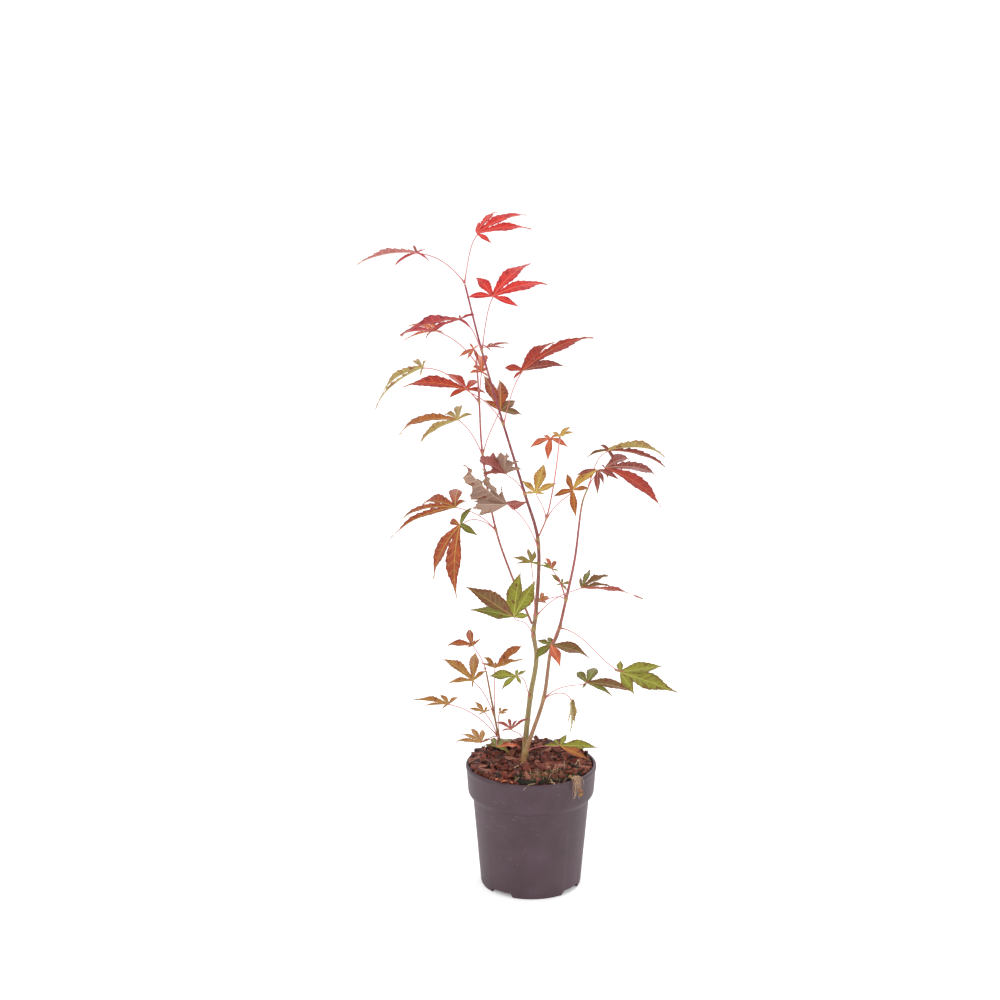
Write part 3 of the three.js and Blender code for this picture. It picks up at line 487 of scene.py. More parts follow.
# Each spray: its limb, the height at which it leaves the limb, or None at the limb's tip, and its leaves.
sprays = {
    "crown_tip": ("leader", None, [
        leaf((-53, 15, 649), (-0.2, 1), 40, ((14, -10), (53, 5), (49, 19), (19, 22), (4, 12)),
             "scarlet", breadth=1.05, fold=24),
        leaf((-108, -25, 636), (-0.3, 1.1), 32, ((9, 3), (-4, 7), (-57, -9), (-24, -14), (13, -9)),
             "blush", breadth=0.45, fold=42, lobes={1: "rosy", 2: "shell"}),
    ]),
    "crown_upper": ("leader", 541, [
        leaf((-38, 25, 588), (0, 0.8), 35, ((25, -11), (53, 15), (35, 34), (-16, 19), (-26, -1)),
             "scarlet", fold=16, curl=0.02),
        leaf((-68, -25, 574), (-0.3, 1), 35, ((17, 4), (-1, 4), (-58, -15), (-35, -16), (10, -9)),
             "crimson", breadth=0.75, fold=34, curl=0.06, wave=0.02),
        leaf((-44, 12, 541), (0.2, 1), 25, ((5, -4), (19, -1), (25, 4), (7, 4), (-5, 3)),
             "rosy", breadth=0.7, fold=45),
    ]),
    "crown_middle": ("leader", 470, [
        leaf((-64, 42, 494), (0.1, 1), 42, ((20, -4), (12, 9), (-21, 16), (-64, 4), (-18, -8)),
             "brick", fold=24),
        leaf((-10, -20, 524), (-0.3, 0.8), 35, ((43, 6), (67, 37), (31, 28), (-18, 2), (-9, -9)),
             "maroon", breadth=1.1, fold=20, lobes={0: "wine"}),
    ]),
    "crown_lower": ("leader", 400, [
        leaf((-26, -35, 428), (0.5, -0.9), 40, ((-20, -2), (-25, 11), (1, 18), (12, 12), (17, 4)),
             "greyed", breadth=1.2, fold=48, wave=0.05, lobes={0: "plum", 1: "plum"}),
    ]),
    "twig_fork": ("leader", 347, [
        leaf((-24, -35, 398), (0.8, 0.3), 25, ((-32, 2), (-41, 35), (-24, 32), (-6, 17), (21, 2)),
             "greyed", breadth=1.3, fold=52, wave=0.07, cut=0.22, lobes={4: "plum"}),
    ]),
    "leader_middle": ("leader", 275, [
        leaf((-1, -25, 338), (0.3, 0.8), 25, ((11, -3), (4, 12), (-3, 15), (-19, 5), (-16, -1)),
             "olive_red", fold=26),
        leaf((50, 40, 294), (0, 0.9), 35, ((63, -10), (31, 2), (29, 13), (10, 19), (-2, 11)),
             "bronze", breadth=0.8, fold=40, wave=0.02, lobes={0: "rosy", 3: "deep_green"}),
    ]),
    "bough_fork": ("leader", 254, [
        leaf((-18, -63, 295), (0, 0.4), 20, ((16, 2), (22, 36), (5, 45), (-48, 30), (-44, 9)),
             "green", breadth=1.4, cut=0.32, fold=14, lobes={3: "bronze", 4: "deep_green"}),
    ]),
    "leader_lower": ("leader", 192, [
        leaf((-15, -35, 227), (-0.3, 0.7), 30, ((11, 6), (1, 7), (-28, -1), (-16, -14), (5, -9)),
             "green", breadth=1.2, fold=18),
    ]),
    "leader_foot": ("leader", 146, [
        leaf((-20, -26, 169), (0, 0.9), 35, ((23, 12), (7, 10), (-3, 12), (-17, 7), (-11, -2)),
             "rosy", breadth=0.6, fold=45, curl=0.12),
    ]),
    "left_lower": ("left_bough", 361, [
        leaf((-74, -10, 389), (-0.3, 1.1), 48, ((11, 6), (5, 17), (-35, 2), (-57, -14), (-64, -31)),
             "rust", breadth=1.0, fold=26),
        leaf((-69, -30, 377), (-0.7, 0.5), 45, ((-10, 3), (-27, -52), (-2, -71), (18, -11), (14, 18)),
             "rust", breadth=1.1, fold=24, lobes={3: "deep_green", 4: "deep_green"}),
    ]),
    "left_middle": ("left_bough", 437, [
        leaf((-31, 23, 477), (0.3, 0.7), 30, ((23, -4), (16, 10), (0, 32), (-18, 37), (-16, 11)),
             "rust", breadth=1.15, lobes={0: "bronze", 1: "bronze"}),
        leaf((-71, 5, 472), (-0.3, 1), 50, ((15, 4), (2, 13), (-14, 4), (-62, -15), (-38, -24)),
             "tan_green", breadth=0.8, fold=32, lobes={3: "copper"}),
    ]),
    "left_upper": ("left_bough", 488, [
        leaf((-49, 38, 512), (0.2, 0.8), 50, ((7, -5), (6, 3), (-2, 19), (-10, 6), (-13, -1)),
             "orange", fold=34, curl=0.15),
        leaf((-104, 0, 524), (-0.8, 0.9), 45, ((4, 7), (-8, 6), (-40, -25), (-48, -42), (-2, -9)),
             "tan_green", breadth=0.6, fold=40),
    ]),
    "left_tip": ("left_bough", None, [
        leaf((-91, 10, 557), (0, 1.3), 35, ((7, -2), (-8, 7), (-30, 5), (-37, -4), (-34, -9)),
             "orange", breadth=0.85, fold=32, lobes={3: "blush"}),
        leaf((-56, 22, 538), (-0.2, 0.4), 10, ((5, 4), (-5, 6), (-16, -8), (-7, -11), (5, -12)),
             "orange", breadth=0.9, fold=30),
    ]),
    "right_foot": ("right_stem", 139, [
        leaf((29, 12, 138), (-0.1, 0.9), 15, ((29, -14), (39, 0), (7, 12), (-7, 7), (-18, 0)),
             "green", breadth=1.2, lobes={0: "copper"}),
    ]),
    "right_lower": ("right_stem", 196, [
        leaf((56, 30, 198), (0, 0.9), 40, ((28, -14), (49, -10), (11, 16), (-12, 11), (-5, -6)),
             "deep_green", breadth=1.15, lobes={1: "bronze"}),
        leaf((38, -45, 207), (1.8, 0.2), 5, ((-3, -9), (-3, -25), (0, -35), (3, -24), (4, -8)),
             "tan_green", fold=70, breadth=0.35),
    ]),
    "right_middle": ("right_stem", 270, [
        leaf((18, -45, 262), (0, 0.9), 15, ((-2, 9), (-15, 4), (-17, -15), (9, -21), (39, -10)),
             "deep_green", breadth=1.45, cut=0.22, curl=0.16, lobes={3: "orange", 4: "bronze"}),
        leaf((84, -50, 236), (-0.1, 0.9), 10, ((15, -21), (55, -19), (44, 6), (0, 12), (-6, 3)),
             "green", breadth=1.4, cut=0.22, fold=14),
    ]),
    "right_upper": ("right_stem", 299, [
        leaf((29, -5, 311), (0.1, 0.6), 15, ((6, -7), (11, 2), (1, 7), (-11, 11), (-6, -1)),
             "olive_red", curl=0.2),
        leaf((20, 10, 322), (0.1, 0.7), 20, ((7, -2), (4, 11), (-9, 14), (-11, 9), (-15, 5)),
             "green", curl=0.2, lobes={2: "orange", 1: "rust"}),
        leaf((8, 15, 287), (0.2, 0.7), 35, ((8, -1), (11, 7), (5, 12), (-2, 5), (-6, 1)),
             "copper", curl=0.2),
    ]),
    "right_tip": ("right_stem", None, [
        leaf((61, -35, 432), (0.1, 0.7), 25, ((-22, -6), (-18, -14), (1, -25), (7, -15), (22, -9)),
             "wine", fold=30, lobes={1: "golden"}),
        leaf((74, 30, 436), (0, 1.2), 48, ((9, -16), (62, -18), (59, -5), (-9, 4), (-22, -8)),
             "wine", breadth=0.65, fold=40, lobes={2: "tan_green", 4: "bronze"}),
        leaf((69, -15, 429), (0.4, 0.8), 48, ((3, -11), (56, -38), (54, -9), (24, 9), (-4, 3)),
             "wine", breadth=0.95, fold=28, lobes={1: "maroon"}),
    ]),
    "twig_middle": ("side_twig", 377, [
        leaf((3, -30, 408), (0, 0.8), 15, ((10, -1), (21, 10), (8, 30), (-14, 13), (-12, 0)),
             "golden", fold=20),
        leaf((39, -10, 406), (-0.4, 0.4), 25, ((18, 3), (18, 21), (-6, 17), (-20, -6), (4, -27)),
             "copper", fold=24, lobes={1: "golden"}),
    ]),
    "twig_tip": ("side_twig", None, [
        leaf((26, -15, 460), (-0.1, 0.9), 25, ((6, 0), (15, 5), (11, 10), (-8, 4), (-7, -1)),
             "golden", fold=26),
        leaf((18, 10, 453), (-0.2, 0.6), 30, ((-8, 2), (-22, -10), (-3, -23), (18, -9), (8, 3)),
             "orange", breadth=1.1, fold=30),
    ]),
    "shoot_foot": ("basal_shoot", 137, [
        leaf((-47, 48, 161), (0, 0.8), 10, ((8, 3), (4, 7), (-10, 12), (-18, 5), (-7, -3)),
             "tan", curl=0.2, breadth=0.9),
        leaf((-31, 34, 165), (0, 0.8), 35, ((5, -2), (8, 0), (10, 3), (0, 6), (-3, 1)),
             "tan", fold=40),
        leaf((-83, 55, 167), (0, 1.3), 15, ((10, 8), (-10, 10), (-39, 5), (-27, -1), (-8, -5)),
             "tan", breadth=0.9, fold=36),
        leaf((-50, 35, 133), (-0.1, 0.9), 25, ((11, 4), (2, 15), (-13, 16), (-23, 11), (-31, 2)),
             "tan", curl=0.2, breadth=0.9),
        leaf((-34, 14, 136), (0, 1.6), 20, ((15, -6), (25, 1), (17, 9), (-6, 10), (-14, 3)),
             "deep_green", curl=0.16, wave=0.04, breadth=1.2, lobes={1: "orange"}),
    ]),
    "shoot_middle": ("basal_shoot", 161, [
        leaf((-58, 25, 202), (0, 0.8), 30, ((14, 10), (2, 30), (-31, 23), (-26, -2), (-1, -8)),
             "tan", breadth=0.75, fold=30),
        leaf((-36, 60, 204), (0, 0.9), 10, ((29, 10), (31, 25), (1, 7), (-12, 13), (-15, 5)),
             "tan", breadth=0.95, fold=34, wave=0.03, lobes={1: "copper"}),
    ]),
    "shoot_tip": ("basal_shoot", None, [
        leaf((-58, 30, 237), (-0.2, 0.9), 15, ((9, 8), (3, 7), (-5, 20), (-28, 3), (-7, -2)),
             "rust", fold=30, curl=0.15),
    ]),
}

# The shape of a lobe: places along it and half widths there, as shares of its length. Lobes that are
# closer together than WIDE_GAP, or longer than LONG_FROM, are slimmer.
BROAD_AT, BROAD_HALF, WIDE_GAP = 0.47, 0.13, math.radians(36)
LONG_FROM, LONG_THINNING = 45, 0.4
SLIM_AT, SLIM_HALF = 0.73, 0.062
SHARP_AT, SHARP_HALF = 0.89, 0.016
PALM_ROWS = 4
TEETH = 9  # along each margin of a lobe, one at the end of each side rib
TOOTH = 0.014  # depth of a tooth, as a share of its lobe's length
TOOTH_ROWS = np.array([0.68, 0.78, 1.0])  # within a tooth: both edges of its side rib, and the notch
QUILT = 0.07  # how far the tissue bulges between the side ribs, as a share of the lobe's half width
OUTER_EDGE = 0.45  # how far the outermost edges stand from their lobes' ribs at the stalk, in radians
SLANT = 0.9  # how far a side rib leans forward
BLADE_THICKNESS, TIP_THICKNESS = 0.22, 0.04
SIDE_RIB_DEPTH = 0.12  # how far a side rib stands out below
RIB_HALF = 0.42  # half width of a lobe's middle rib at its foot
ACROSS = np.array([0, 0, 0.38, 0.74, 1.0])  # places from the middle rib to the margin


def lobe_margins(leaf, fate):
    """The margins of the half-lobes, toothed and smooth, and the kind of each row that ends there.

    A margin gives places along the lobe and out from its middle rib, by lobe, side and row. The kinds: 1
    and 2 are the edges of a side rib, 0 is the notch after its tooth and 3 a row of the palm.
    """
    reach = leaf["lengths"]
    gaps = np.diff(leaf["headings"])
    gap = np.stack([np.append(gaps[0], gaps), np.append(gaps, gaps[-1])], 1)  # right and left of a lobe
    breadth = np.minimum(1, gap / WIDE_GAP) * leaf["breadth"]
    breadth = breadth * np.minimum(1, (LONG_FROM / reach[:, None]) ** LONG_THINNING)
    cut = leaf["cut"]

    # sinuses and the lines halfway between lobes, for the right and the left side of each lobe
    between = cut * np.minimum(reach[:-1], reach[1:])
    sinus = np.stack([np.append(cut * reach[0], between), np.append(between, cut * reach[-1])], 1)
    half_gap = gap / 2
    half_gap[0, 0] = half_gap[4, 1] = OUTER_EDGE

    tooth = np.arange(TEETH)[:, None]
    shares = np.append(0, ((tooth + TOOTH_ROWS) / TEETH).ravel())
    kind = np.append(0, np.tile([1, 2, 0], TEETH))
    kind[-1] = 2
    palm = np.arange(PALM_ROWS) / PALM_ROWS
    rows = PALM_ROWS + len(shares)
    margin = np.zeros((5, 2, rows, 2))
    for k in range(5):
        for side in range(2):
            start = sinus[k, side] * np.array([math.cos(half_gap[k, side]), math.sin(half_gap[k, side])])
            half = breadth[k, side] * reach[k]
            outline = smooth_curve(np.array([
                start, (BROAD_AT * reach[k], BROAD_HALF * half), (SLIM_AT * reach[k], SLIM_HALF * half),
                (SHARP_AT * reach[k], SHARP_HALF * half), (reach[k], 0)]))
            margin[k, side, :PALM_ROWS] = start * palm[:, None]
            margin[k, side, PALM_ROWS:] = at_shares(outline, shares)
    smooth_margin = margin.copy()
    kind = np.append(np.full(PALM_ROWS, 3), kind)
    taper = np.append(np.zeros(PALM_ROWS), np.minimum(1, shares * 7) * np.maximum(1.05 - shares, 0) ** 0.6)
    depth = TOOTH * reach[:, None, None] * taper * fate.uniform(0.6, 1.25, (5, 2, rows))
    out_by = np.select([kind == 2, kind == 1, kind == 0], [1.0, 0.72, -0.3], 0.0)
    on_by = np.select([kind == 2, kind == 1], [0.85, 0.45], 0.0)
    margin[..., 1] += depth * out_by
    margin[..., 0] += depth * on_by
    margin[:, :, -1] = smooth_margin[:, :, -1]
    return margin, smooth_margin, kind


def blade(leaf):
    """One palmate blade: five toothed lobes, each two half-lobes of rows that follow the side ribs.

    Rows run from the middle rib out to the margin, three to a tooth: both edges of the side rib that
    ends in the tooth, and the notch after it. Below the sinuses the rows end on the line halfway to the
    next lobe, at places that both lobes share. The flat shape is then folded up along each middle rib,
    quilted between the side ribs, and bent over: a point goes out along its own direction and down on an
    arc that has turned by the droop where its lobe ends.
    """
    droop, reach, cut = leaf["droop"], leaf["lengths"], leaf["cut"]
    fate = np.random.default_rng(leaf["number"])
    margin, smooth_margin, kind = lobe_margins(leaf, fate)

    # the middle ribs, then every point of the half-lobes: [lobe, side, row, column]
    rib = (smooth_margin[..., 0] - SLANT * smooth_margin[..., 1]).mean(axis=1)
    rib = np.maximum.accumulate(np.clip(rib, 0, None), axis=1)
    rib_share = rib / reach[:, None]
    rib_half = RIB_HALF * (reach[:, None, None] / 60) ** 0.5 * (1 - 0.75 * rib_share)[:, None, :]
    inner = np.minimum(rib_half / np.maximum(margin[..., 1], 1e-6), 0.5)
    across = np.broadcast_to(ACROSS, margin.shape[:3] + (5,)).copy()
    across[..., 1:4] = inner[..., None] + (1 - inner[..., None]) * ACROSS[None, 1:4]
    x = rib[:, None, :, None] * (1 - across) + margin[..., 0][..., None] * across
    y = margin[..., 1][..., None] * across
    along_share = x / reach[:, None, None, None]
    free = np.clip((along_share - cut) / (1 - cut), 0, 1)  # 0 in the palm, 1 at the tip

    # lift from the flat: fold, quilting, a wavy margin, a twist and a curled tip
    fold = math.tan(math.radians(leaf["fold"])) * fate.uniform(0.8, 1.2)
    side_sign = np.array([-1, 1])[None, :, None, None]
    lift = fold * y
    quilt = np.select([kind == 0, kind == 3], [1.0, 0.4], 0.0)[None, None, :, None]
    lift = lift + QUILT * quilt * y * np.sin(np.pi * across)
    phase, pace = fate.uniform(0, TURN, (5, 2, 1, 1)), fate.uniform(1.6, 2.6, (5, 2, 1, 1))
    wave = leaf["wave"] * reach[:, None, None, None]
    lift = lift + wave * np.sin(TURN * pace * free + phase) * across ** 2 * np.minimum(free * 5, 1)
    twist = math.radians(TWIST) * fate.uniform(-1, 1, (5, 1, 1, 1))
    lift = lift + side_sign * y * np.tan(twist * 2 * free)
    curl = leaf["curl"] * fate.uniform(0.2, 1.6, (5, 1, 1, 1))
    lift = lift - curl * reach[:, None, None, None] * np.clip((along_share - 0.55) / 0.45, 0, 1) ** 2
    sweep = SWEEP * fate.uniform(-1, 1, (5, 1, 1, 1))
    y = side_sign * y + sweep * reach[:, None, None, None] * free ** 2

    # the underside: the ribs stand out below
    thick = np.full(x.shape, BLADE_THICKNESS)
    thick[..., 0] += 1.5 * rib_half
    thick[..., 1] += 0.5 * rib_half
    thick[..., 4] *= 0.5
    thick[..., 2:4] += SIDE_RIB_DEPTH * ((kind == 1) | (kind == 2))[None, None, :, None]
    thick[:, :, -1] = TIP_THICKNESS
    lift = np.stack([lift, lift - thick])

    # bend over and place
    distance = np.hypot(x, y)
    angle = leaf["headings"][:, None, None, None] + np.arctan2(y, x)
    own_reach = np.interp(angle, leaf["headings"], reach)
    bend = droop * distance / own_reach
    radius = own_reach / droop
    out = radius * np.sin(bend) + lift * np.sin(bend)
    down = radius * (1 - np.cos(bend)) - lift * np.cos(bend)
    along, left, up = leaf["along"], leaf["left"], leaf["up"]
    points = (leaf["at"] + (out * np.cos(angle))[..., None] * along
              + (out * np.sin(angle))[..., None] * left - down[..., None] * up)
    return points.reshape(-1, 3), *blade_faces(leaf, fate, kind, x, y, across, along_share)


def blade_faces(leaf, fate, kind, x, y, across, along_share):
    """The faces of both skins and of the margin between them, with their slots.

    The tissue changes with the place from rib to margin and from palm to tip, in patches and with some
    scatter. It turns to blotches at the top of the patches, and to the tips' colour near the tips.
    """
    rows = len(kind)
    patch = grid_faces(rows, 5)
    size = rows * 5
    starts = np.arange(20).reshape(2, 5, 2) * size
    share = along_share[:, :, :-1, :-1].reshape(5, 2, -1)
    edge = 0.5 * (across[:, :, :-1, :-1] + across[:, :, 1:, 1:]).reshape(5, 2, -1)
    face_x, face_y = (v[:, :, :-1, :-1].reshape(5, 2, -1) for v in (x, y))
    shift_x, shift_y = fate.uniform(0, TURN, (2, 5, 1, 1))
    patches = np.sin(face_x * TURN / PATCH_LONG + shift_x) * np.sin(face_y * TURN / PATCH_WIDE + shift_y)
    tone = 0.75 * edge ** 1.5 + 0.3 * share + 0.2 * patches + fate.normal(0, 0.16, share.shape)
    tissue = np.clip((tone * TISSUE_STEPS).astype(int), 0, TISSUE_STEPS - 1)
    tissue = np.where(patches + 0.6 * edge + fate.normal(0, 0.3, share.shape) > 1.2, BLOTCH, tissue)
    tissue = np.where(share + fate.normal(0, 0.05, share.shape) > 0.84, TIP, tissue)
    rib_slot = np.zeros((rows - 1, 4), int)
    rib_slot[kind[:-1] == 1, :3] = SIDE_RIB
    rib_slot[:, 0] = RIB
    rib_slot = np.broadcast_to(rib_slot.ravel(), share.shape)
    upper = np.where(rib_slot, rib_slot, tissue)
    lower = np.where(rib_slot, RIB, UNDERSIDE)
    other = np.zeros((5, 1, 1), int)
    for turn, lobe in enumerate(leaf["lobes"]):
        other[lobe] = (turn + 1) * LOOK_SLOTS
    upper, lower = upper + other, lower + other
    faces, slots = [], []
    for skin in range(2):
        for k in range(5):
            for side in range(2):
                quads = patch + starts[skin, k, side]
                faces.append(quads if (skin + side) % 2 else quads[:, ::-1])
                slots.append((lower if skin else upper)[k, side])
    rim = np.arange(rows - 1)
    for k in range(5):
        for side in range(2):
            outermost = (k, side) in ((0, 0), (4, 1))
            row = rim if outermost else rim[PALM_ROWS:]
            top, bottom = starts[0, k, side] + row * 5 + 4, starts[1, k, side] + row * 5 + 4
            quads = np.stack([top, top + 5, bottom + 5, bottom], 1)
            faces.append(quads if side else quads[:, ::-1])
            slots.append(np.full(len(row), TISSUE_STEPS - 1) + other[k, 0])
    return np.concatenate(faces), np.concatenate(slots)


leaf_tissue = {}  # the materials of each look, once they are made


def leaf_materials(look):
    """Living leaf tissue: soft, slightly waxy, and thin enough to let some light through.

    The tissue runs from the colour by the ribs to that at the margins in plain steps, then come the
    dark blotches of ageing tissue, the tips, the ribs and the underside.
    """
    if look in leaf_tissue:
        return leaf_tissue[look]
    inner, margin, tip, rib, under = (np.array(linear(c)) for c in looks[look])
    steps = [inner + (margin - inner) * i / (TISSUE_STEPS - 1) for i in range(TISSUE_STEPS)]
    colours = {f"{i}": colour for i, colour in enumerate(steps)}
    colours |= {"blotch": tip * 0.4 + margin * 0.48, "tip": tip, "side_rib": inner + (rib - inner) * 0.35,
                "rib": rib, "underside": under}
    made = []
    for label, colour in colours.items():
        material, _ = new_material(f"leaf_{look}_{label}")
        made.append(surfaced(material, {
            "Base Color": colour.tolist(), "Roughness": 0.7 if label == "underside" else 0.5, "IOR": 1.42,
            "Specular IOR Level": 0.3, "Subsurface Weight": 0.12, "Subsurface Scale": 0.001,
            "Subsurface Radius": (1.0, 0.5, 0.2)}))
    leaf_tissue[look] = made
    return made


# A stalk arches up over its span, settles in line with the blade, and runs a little way under it.
STALK_CREST, STALK_ARCH, STALK_SETTLE = 0.45, 0.22, 0.16  # shares of the span from limb to blade
STALK_SUNK = 0.12
TIP_KNOB = 1.5
STALK_SIDES = 10
SEAT_DEPTH = 0.8  # how far out a stalk starts in its limb, as a share of the limb's radius


def spray_seat(limb_name, height):
    """Where a spray sits: the limb's centre there, its direction, and its radius."""
    limb = limbs[limb_name]
    share = 1.0 if height is None else share_at_height(limb, height)
    behind, ahead = at_shares(limb["curve"], np.array([share - NEARBY, min(share + NEARBY, 1)]))
    tangent = unit(ahead - behind)
    centre = at_shares(limb["curve"], share)
    if height is None:
        centre = centre + tangent * (TIP_KNOB + CLEARANCE)
    return centre, tangent, 0.0 if height is None else float(limb_radius(limb, share))


def stalk_path(leaf, root, count=22):
    """A cubic Bezier curve from the limb, up over its span, and in line with the middle lobe."""
    along, up = leaf["along"], leaf["up"]
    radius = leaf["lengths"][2] / leaf["droop"]
    bend = STALK_SUNK * leaf["droop"]
    base = leaf["at"]
    span = np.linalg.norm(base - root)
    rising = root + (base - root) * STALK_CREST + (0, 0, STALK_ARCH * span)
    settling = base - along * STALK_SETTLE * span
    end = base + along * radius * math.sin(bend) - up * (radius * (1 - math.cos(bend)) + 0.2)
    t = np.linspace(0, 1, count)[:, None]
    return ((1 - t) ** 3 * root + 3 * (1 - t) ** 2 * t * rising
            + 3 * (1 - t) * t ** 2 * settling + t ** 3 * end)


def stalk_girth(count):
    """The radius along a stalk: a thick foot, a slight cushion before the blade, and a thin end."""
    share = np.linspace(0, 1, count)
    girth = 0.48 + 0.55 * np.exp(-share / 0.04) + 0.12 * np.exp(-((share - 0.86) / 0.05) ** 2)
    return girth * np.clip((1.03 - share) / 0.1, 0.15, 1)


def make_sprays():
    """Every spray: its blades as one piece, and all the stalks of the plant as another."""
    stalks = []
    number = 0
    for name, (limb_name, height, leaves) in sprays.items():
        centre, tangent, thickness = spray_seat(limb_name, height)
        shapes, materials = [], []
        for one in leaves:
            number += 1
            one["number"] = number
            points, faces, slots = blade(one)
            shapes.append((points, faces, slots + len(materials)))
            for look in (one["look"], *one["lobes"].values()):
                materials += leaf_materials(look)
            side = one["at"] - centre
            side = unit(side - side @ tangent * tangent)
            path = stalk_path(one, centre + side * thickness * SEAT_DEPTH)
            stalks.append(tube(path, stalk_girth(len(path)), STALK_SIDES))
        piece(f"leaves_{name}", joined(shapes), materials, "foliage", [f"spray_{name}"])
    piece("leaf_stalks", joined(stalks), [plain_material("young leaf stalk, waxy", "#b4605e", 0.45)],
          "foliage")


# ---------------------------------------------------------------- stems

SUNK_BELOW = 3  # a standing limb runs this far down into the mulch
SUNK_ASIDE = 1.2  # a side limb runs this far back into its parent
STEM_SIDES = 20
RING_EVERY = 0.9
NODE_HALF, NODE_SWELL, GROOVE_DEPTH = 2.3, 0.5, 0.12  # a node's half length, swelling and grooves
LENTICELS_PER_MM = 0.22  # pale corky dots on the bark
DOT_HALF_LONG, DOT_HALF_WIDE, DOT_HEIGHT = 0.7, 0.35, 0.1


def stem_bark(name, stops):
    """Young maple bark: thin, smooth and faintly waxy, green to purple-red, streaked along the stem.

    The colour changes with the height above the ground. Streaks 0.7 mm wide and 12 mm long run up the
    stem, the swollen nodes are yellowish, and the corky dots are pale.
    """
    material, tree = new_material(f"maple bark, {name}")
    place = own_place(tree)
    height = add(tree, "ShaderNodeSeparateXYZ", {0: place}).outputs[2]
    low, high = stops[0][0], stops[-1][0]
    share = remap(tree, height, low * MM, high * MM)
    skin = ramp(tree, share, [((level - low) / (high - low), colour) for level, colour in stops])
    stretched = add(tree, "ShaderNodeMapping", {0: place, 3: (1 / 0.7, 1 / 0.7, 1 / 12)}).outputs[0]
    streaks = noise(tree, stretched, 1, 3.0)
    skin = mixed(tree, 1.0, skin, remap(tree, streaks, 0.3, 0.7, 0.72, 1.3), blend="MULTIPLY")
    skin = mixed(tree, stored(tree, "swelling"), skin, linear("#a08a4e"))
    skin = mixed(tree, stored(tree, "cork"), skin, linear("#c4a484"))
    return surfaced(material, {"Base Color": skin, "Roughness": 0.48, "IOR": 1.45,
                               "Normal": bump(tree, streaks, 0.25, 0.0002)})


def make_stem(name, limb, seed):
    """One limb: its rod with swollen, ringed nodes, low ribs along it and corky dots.

    The radius at a ring and an angle is the solid's, times 1 plus low waves round the stem, plus a round
    swelling at each node with a groove round it, plus the raised corky dots.
    """
    fate = np.random.default_rng(seed)
    length = limb["curve"][2]
    share = np.linspace(0, 1, int(length / RING_EVERY))
    path = at_shares(limb["curve"], share)
    radius = limb_radius(limb, share)[:, None]
    run = (share * length)[:, None]
    angle = np.arange(STEM_SIDES) * TURN / STEM_SIDES
    relief = 1 + 0.02 * np.sin(5 * angle + run / 23) + 0.015 * np.sin(9 * angle - run / 31)
    relief = relief + fate.normal(0, 0.008, (len(path), STEM_SIDES))
    swelling = np.zeros((len(path), 1))
    groove = np.zeros((len(path), 1))
    nodes = [height for on, height, _ in sprays.values() if on == name and height is not None]
    nodes += [other["at_height"] for other in limbs.values() if other.get("on") == name]
    for height in nodes:
        away = run - share_at_height(limb, height) * length
        swelling = swelling + np.exp(-((away / NODE_HALF) ** 2))
        groove = groove + np.exp(-(((away + 1.0) / 0.45) ** 2))  # the scar below the node
        groove = groove + 0.7 * np.exp(-(((away - 0.9) / 0.4) ** 2))  # and a shallower one above
    count = int(length * LENTICELS_PER_MM)
    at_run, at_angle = fate.uniform(0, length, count), fate.uniform(0, TURN, count)
    turn_away = (angle[:, None] - at_angle + math.pi) % TURN - math.pi
    run_away = run[..., None] - at_run
    dots = np.exp(-(run_away / DOT_HALF_LONG) ** 2
                  - (turn_away[None] * radius[..., None] / DOT_HALF_WIDE) ** 2)
    cork = dots.sum(axis=-1)
    radius = radius * relief + NODE_SWELL * swelling - GROOVE_DEPTH * groove + DOT_HEIGHT * cork
    if "on" in limb:
        back = path[0] - unit(path[1] - path[0]) * (SUNK_ASIDE + limb["foot"])
    else:
        back = path[0] - (0, 0, SUNK_BELOW)
    path = np.vstack([back, path])
    radius, swelling, cork = (np.vstack([field[:1], field]) for field in (radius, swelling, cork))
    shape = tube(path, radius, STEM_SIDES)
    rings = [0, *range(len(path)), len(path) - 1]
    swelling = np.repeat(np.clip(swelling, 0, 1)[rings] * 0.75, STEM_SIDES)
    cork = np.clip(cork, 0, 1)[rings].ravel() * 0.8
    piece(f"stem_{name}", shape, [stem_bark(name, limb["bark"])], "stem_bark", [name],
          swelling=swelling, cork=cork)


def make_stems():
    """All the limbs. Each draws its relief from a seed of its own."""
    for seed, (name, limb) in enumerate(limbs.items()):
        make_stem(name, limb, seed)


def make_buds():
    """Pointed winter buds: one above each stalk that leaves a limb's side, and one by each stalk at a limb's
    tip.
    """
    fate = np.random.default_rng(11)
    shapes = []
    for limb_name, height, leaves in sprays.values():
        centre, tangent, thickness = spray_seat(limb_name, height)
        for one in leaves:
            side = one["at"] - centre
            side = unit(side - side @ tangent * tangent)
            out = 0.9 * thickness if height is not None else 0.3
            root = centre + side * out + tangent * (1.4 if height is not None else -1.2)
            tip = unit(tangent + side * 0.45)
            size = fate.uniform(2.0, 3.2)
            share = np.linspace(0, 1, 9)
            girth = 0.75 * np.sin(np.pi * np.clip(share * 0.86 + 0.1, 0, 1)) ** 0.8 * (1 - 0.35 * share)
            shapes.append(tube(root + tip * share[:, None] * size, girth * size / 2.6, 8))
    piece("buds", joined(shapes), [plain_material("bud scales, waxy", "#9a5a48", 0.4)], "stem_bark")


# ---------------------------------------------------------------- pot

POT_COLUMNS = 240
CHANNEL_FROM, CHANNEL_TO, CHANNEL_DEPTH = 20, 38, 3  # the underside's sunken ring
NOTCHES, NOTCH_HALF, NOTCH_TOP, NOTCH_BEARING = 4, 12, 4.5, math.radians(-127)
HOLES, HOLE_RADIUS, FLOOR = 8, 4, 5
RIM_RADIUS, RIM_TOP = 65, 125
FOLDED_AT = 40  # degrees: sharper edges of the pot stay sharp

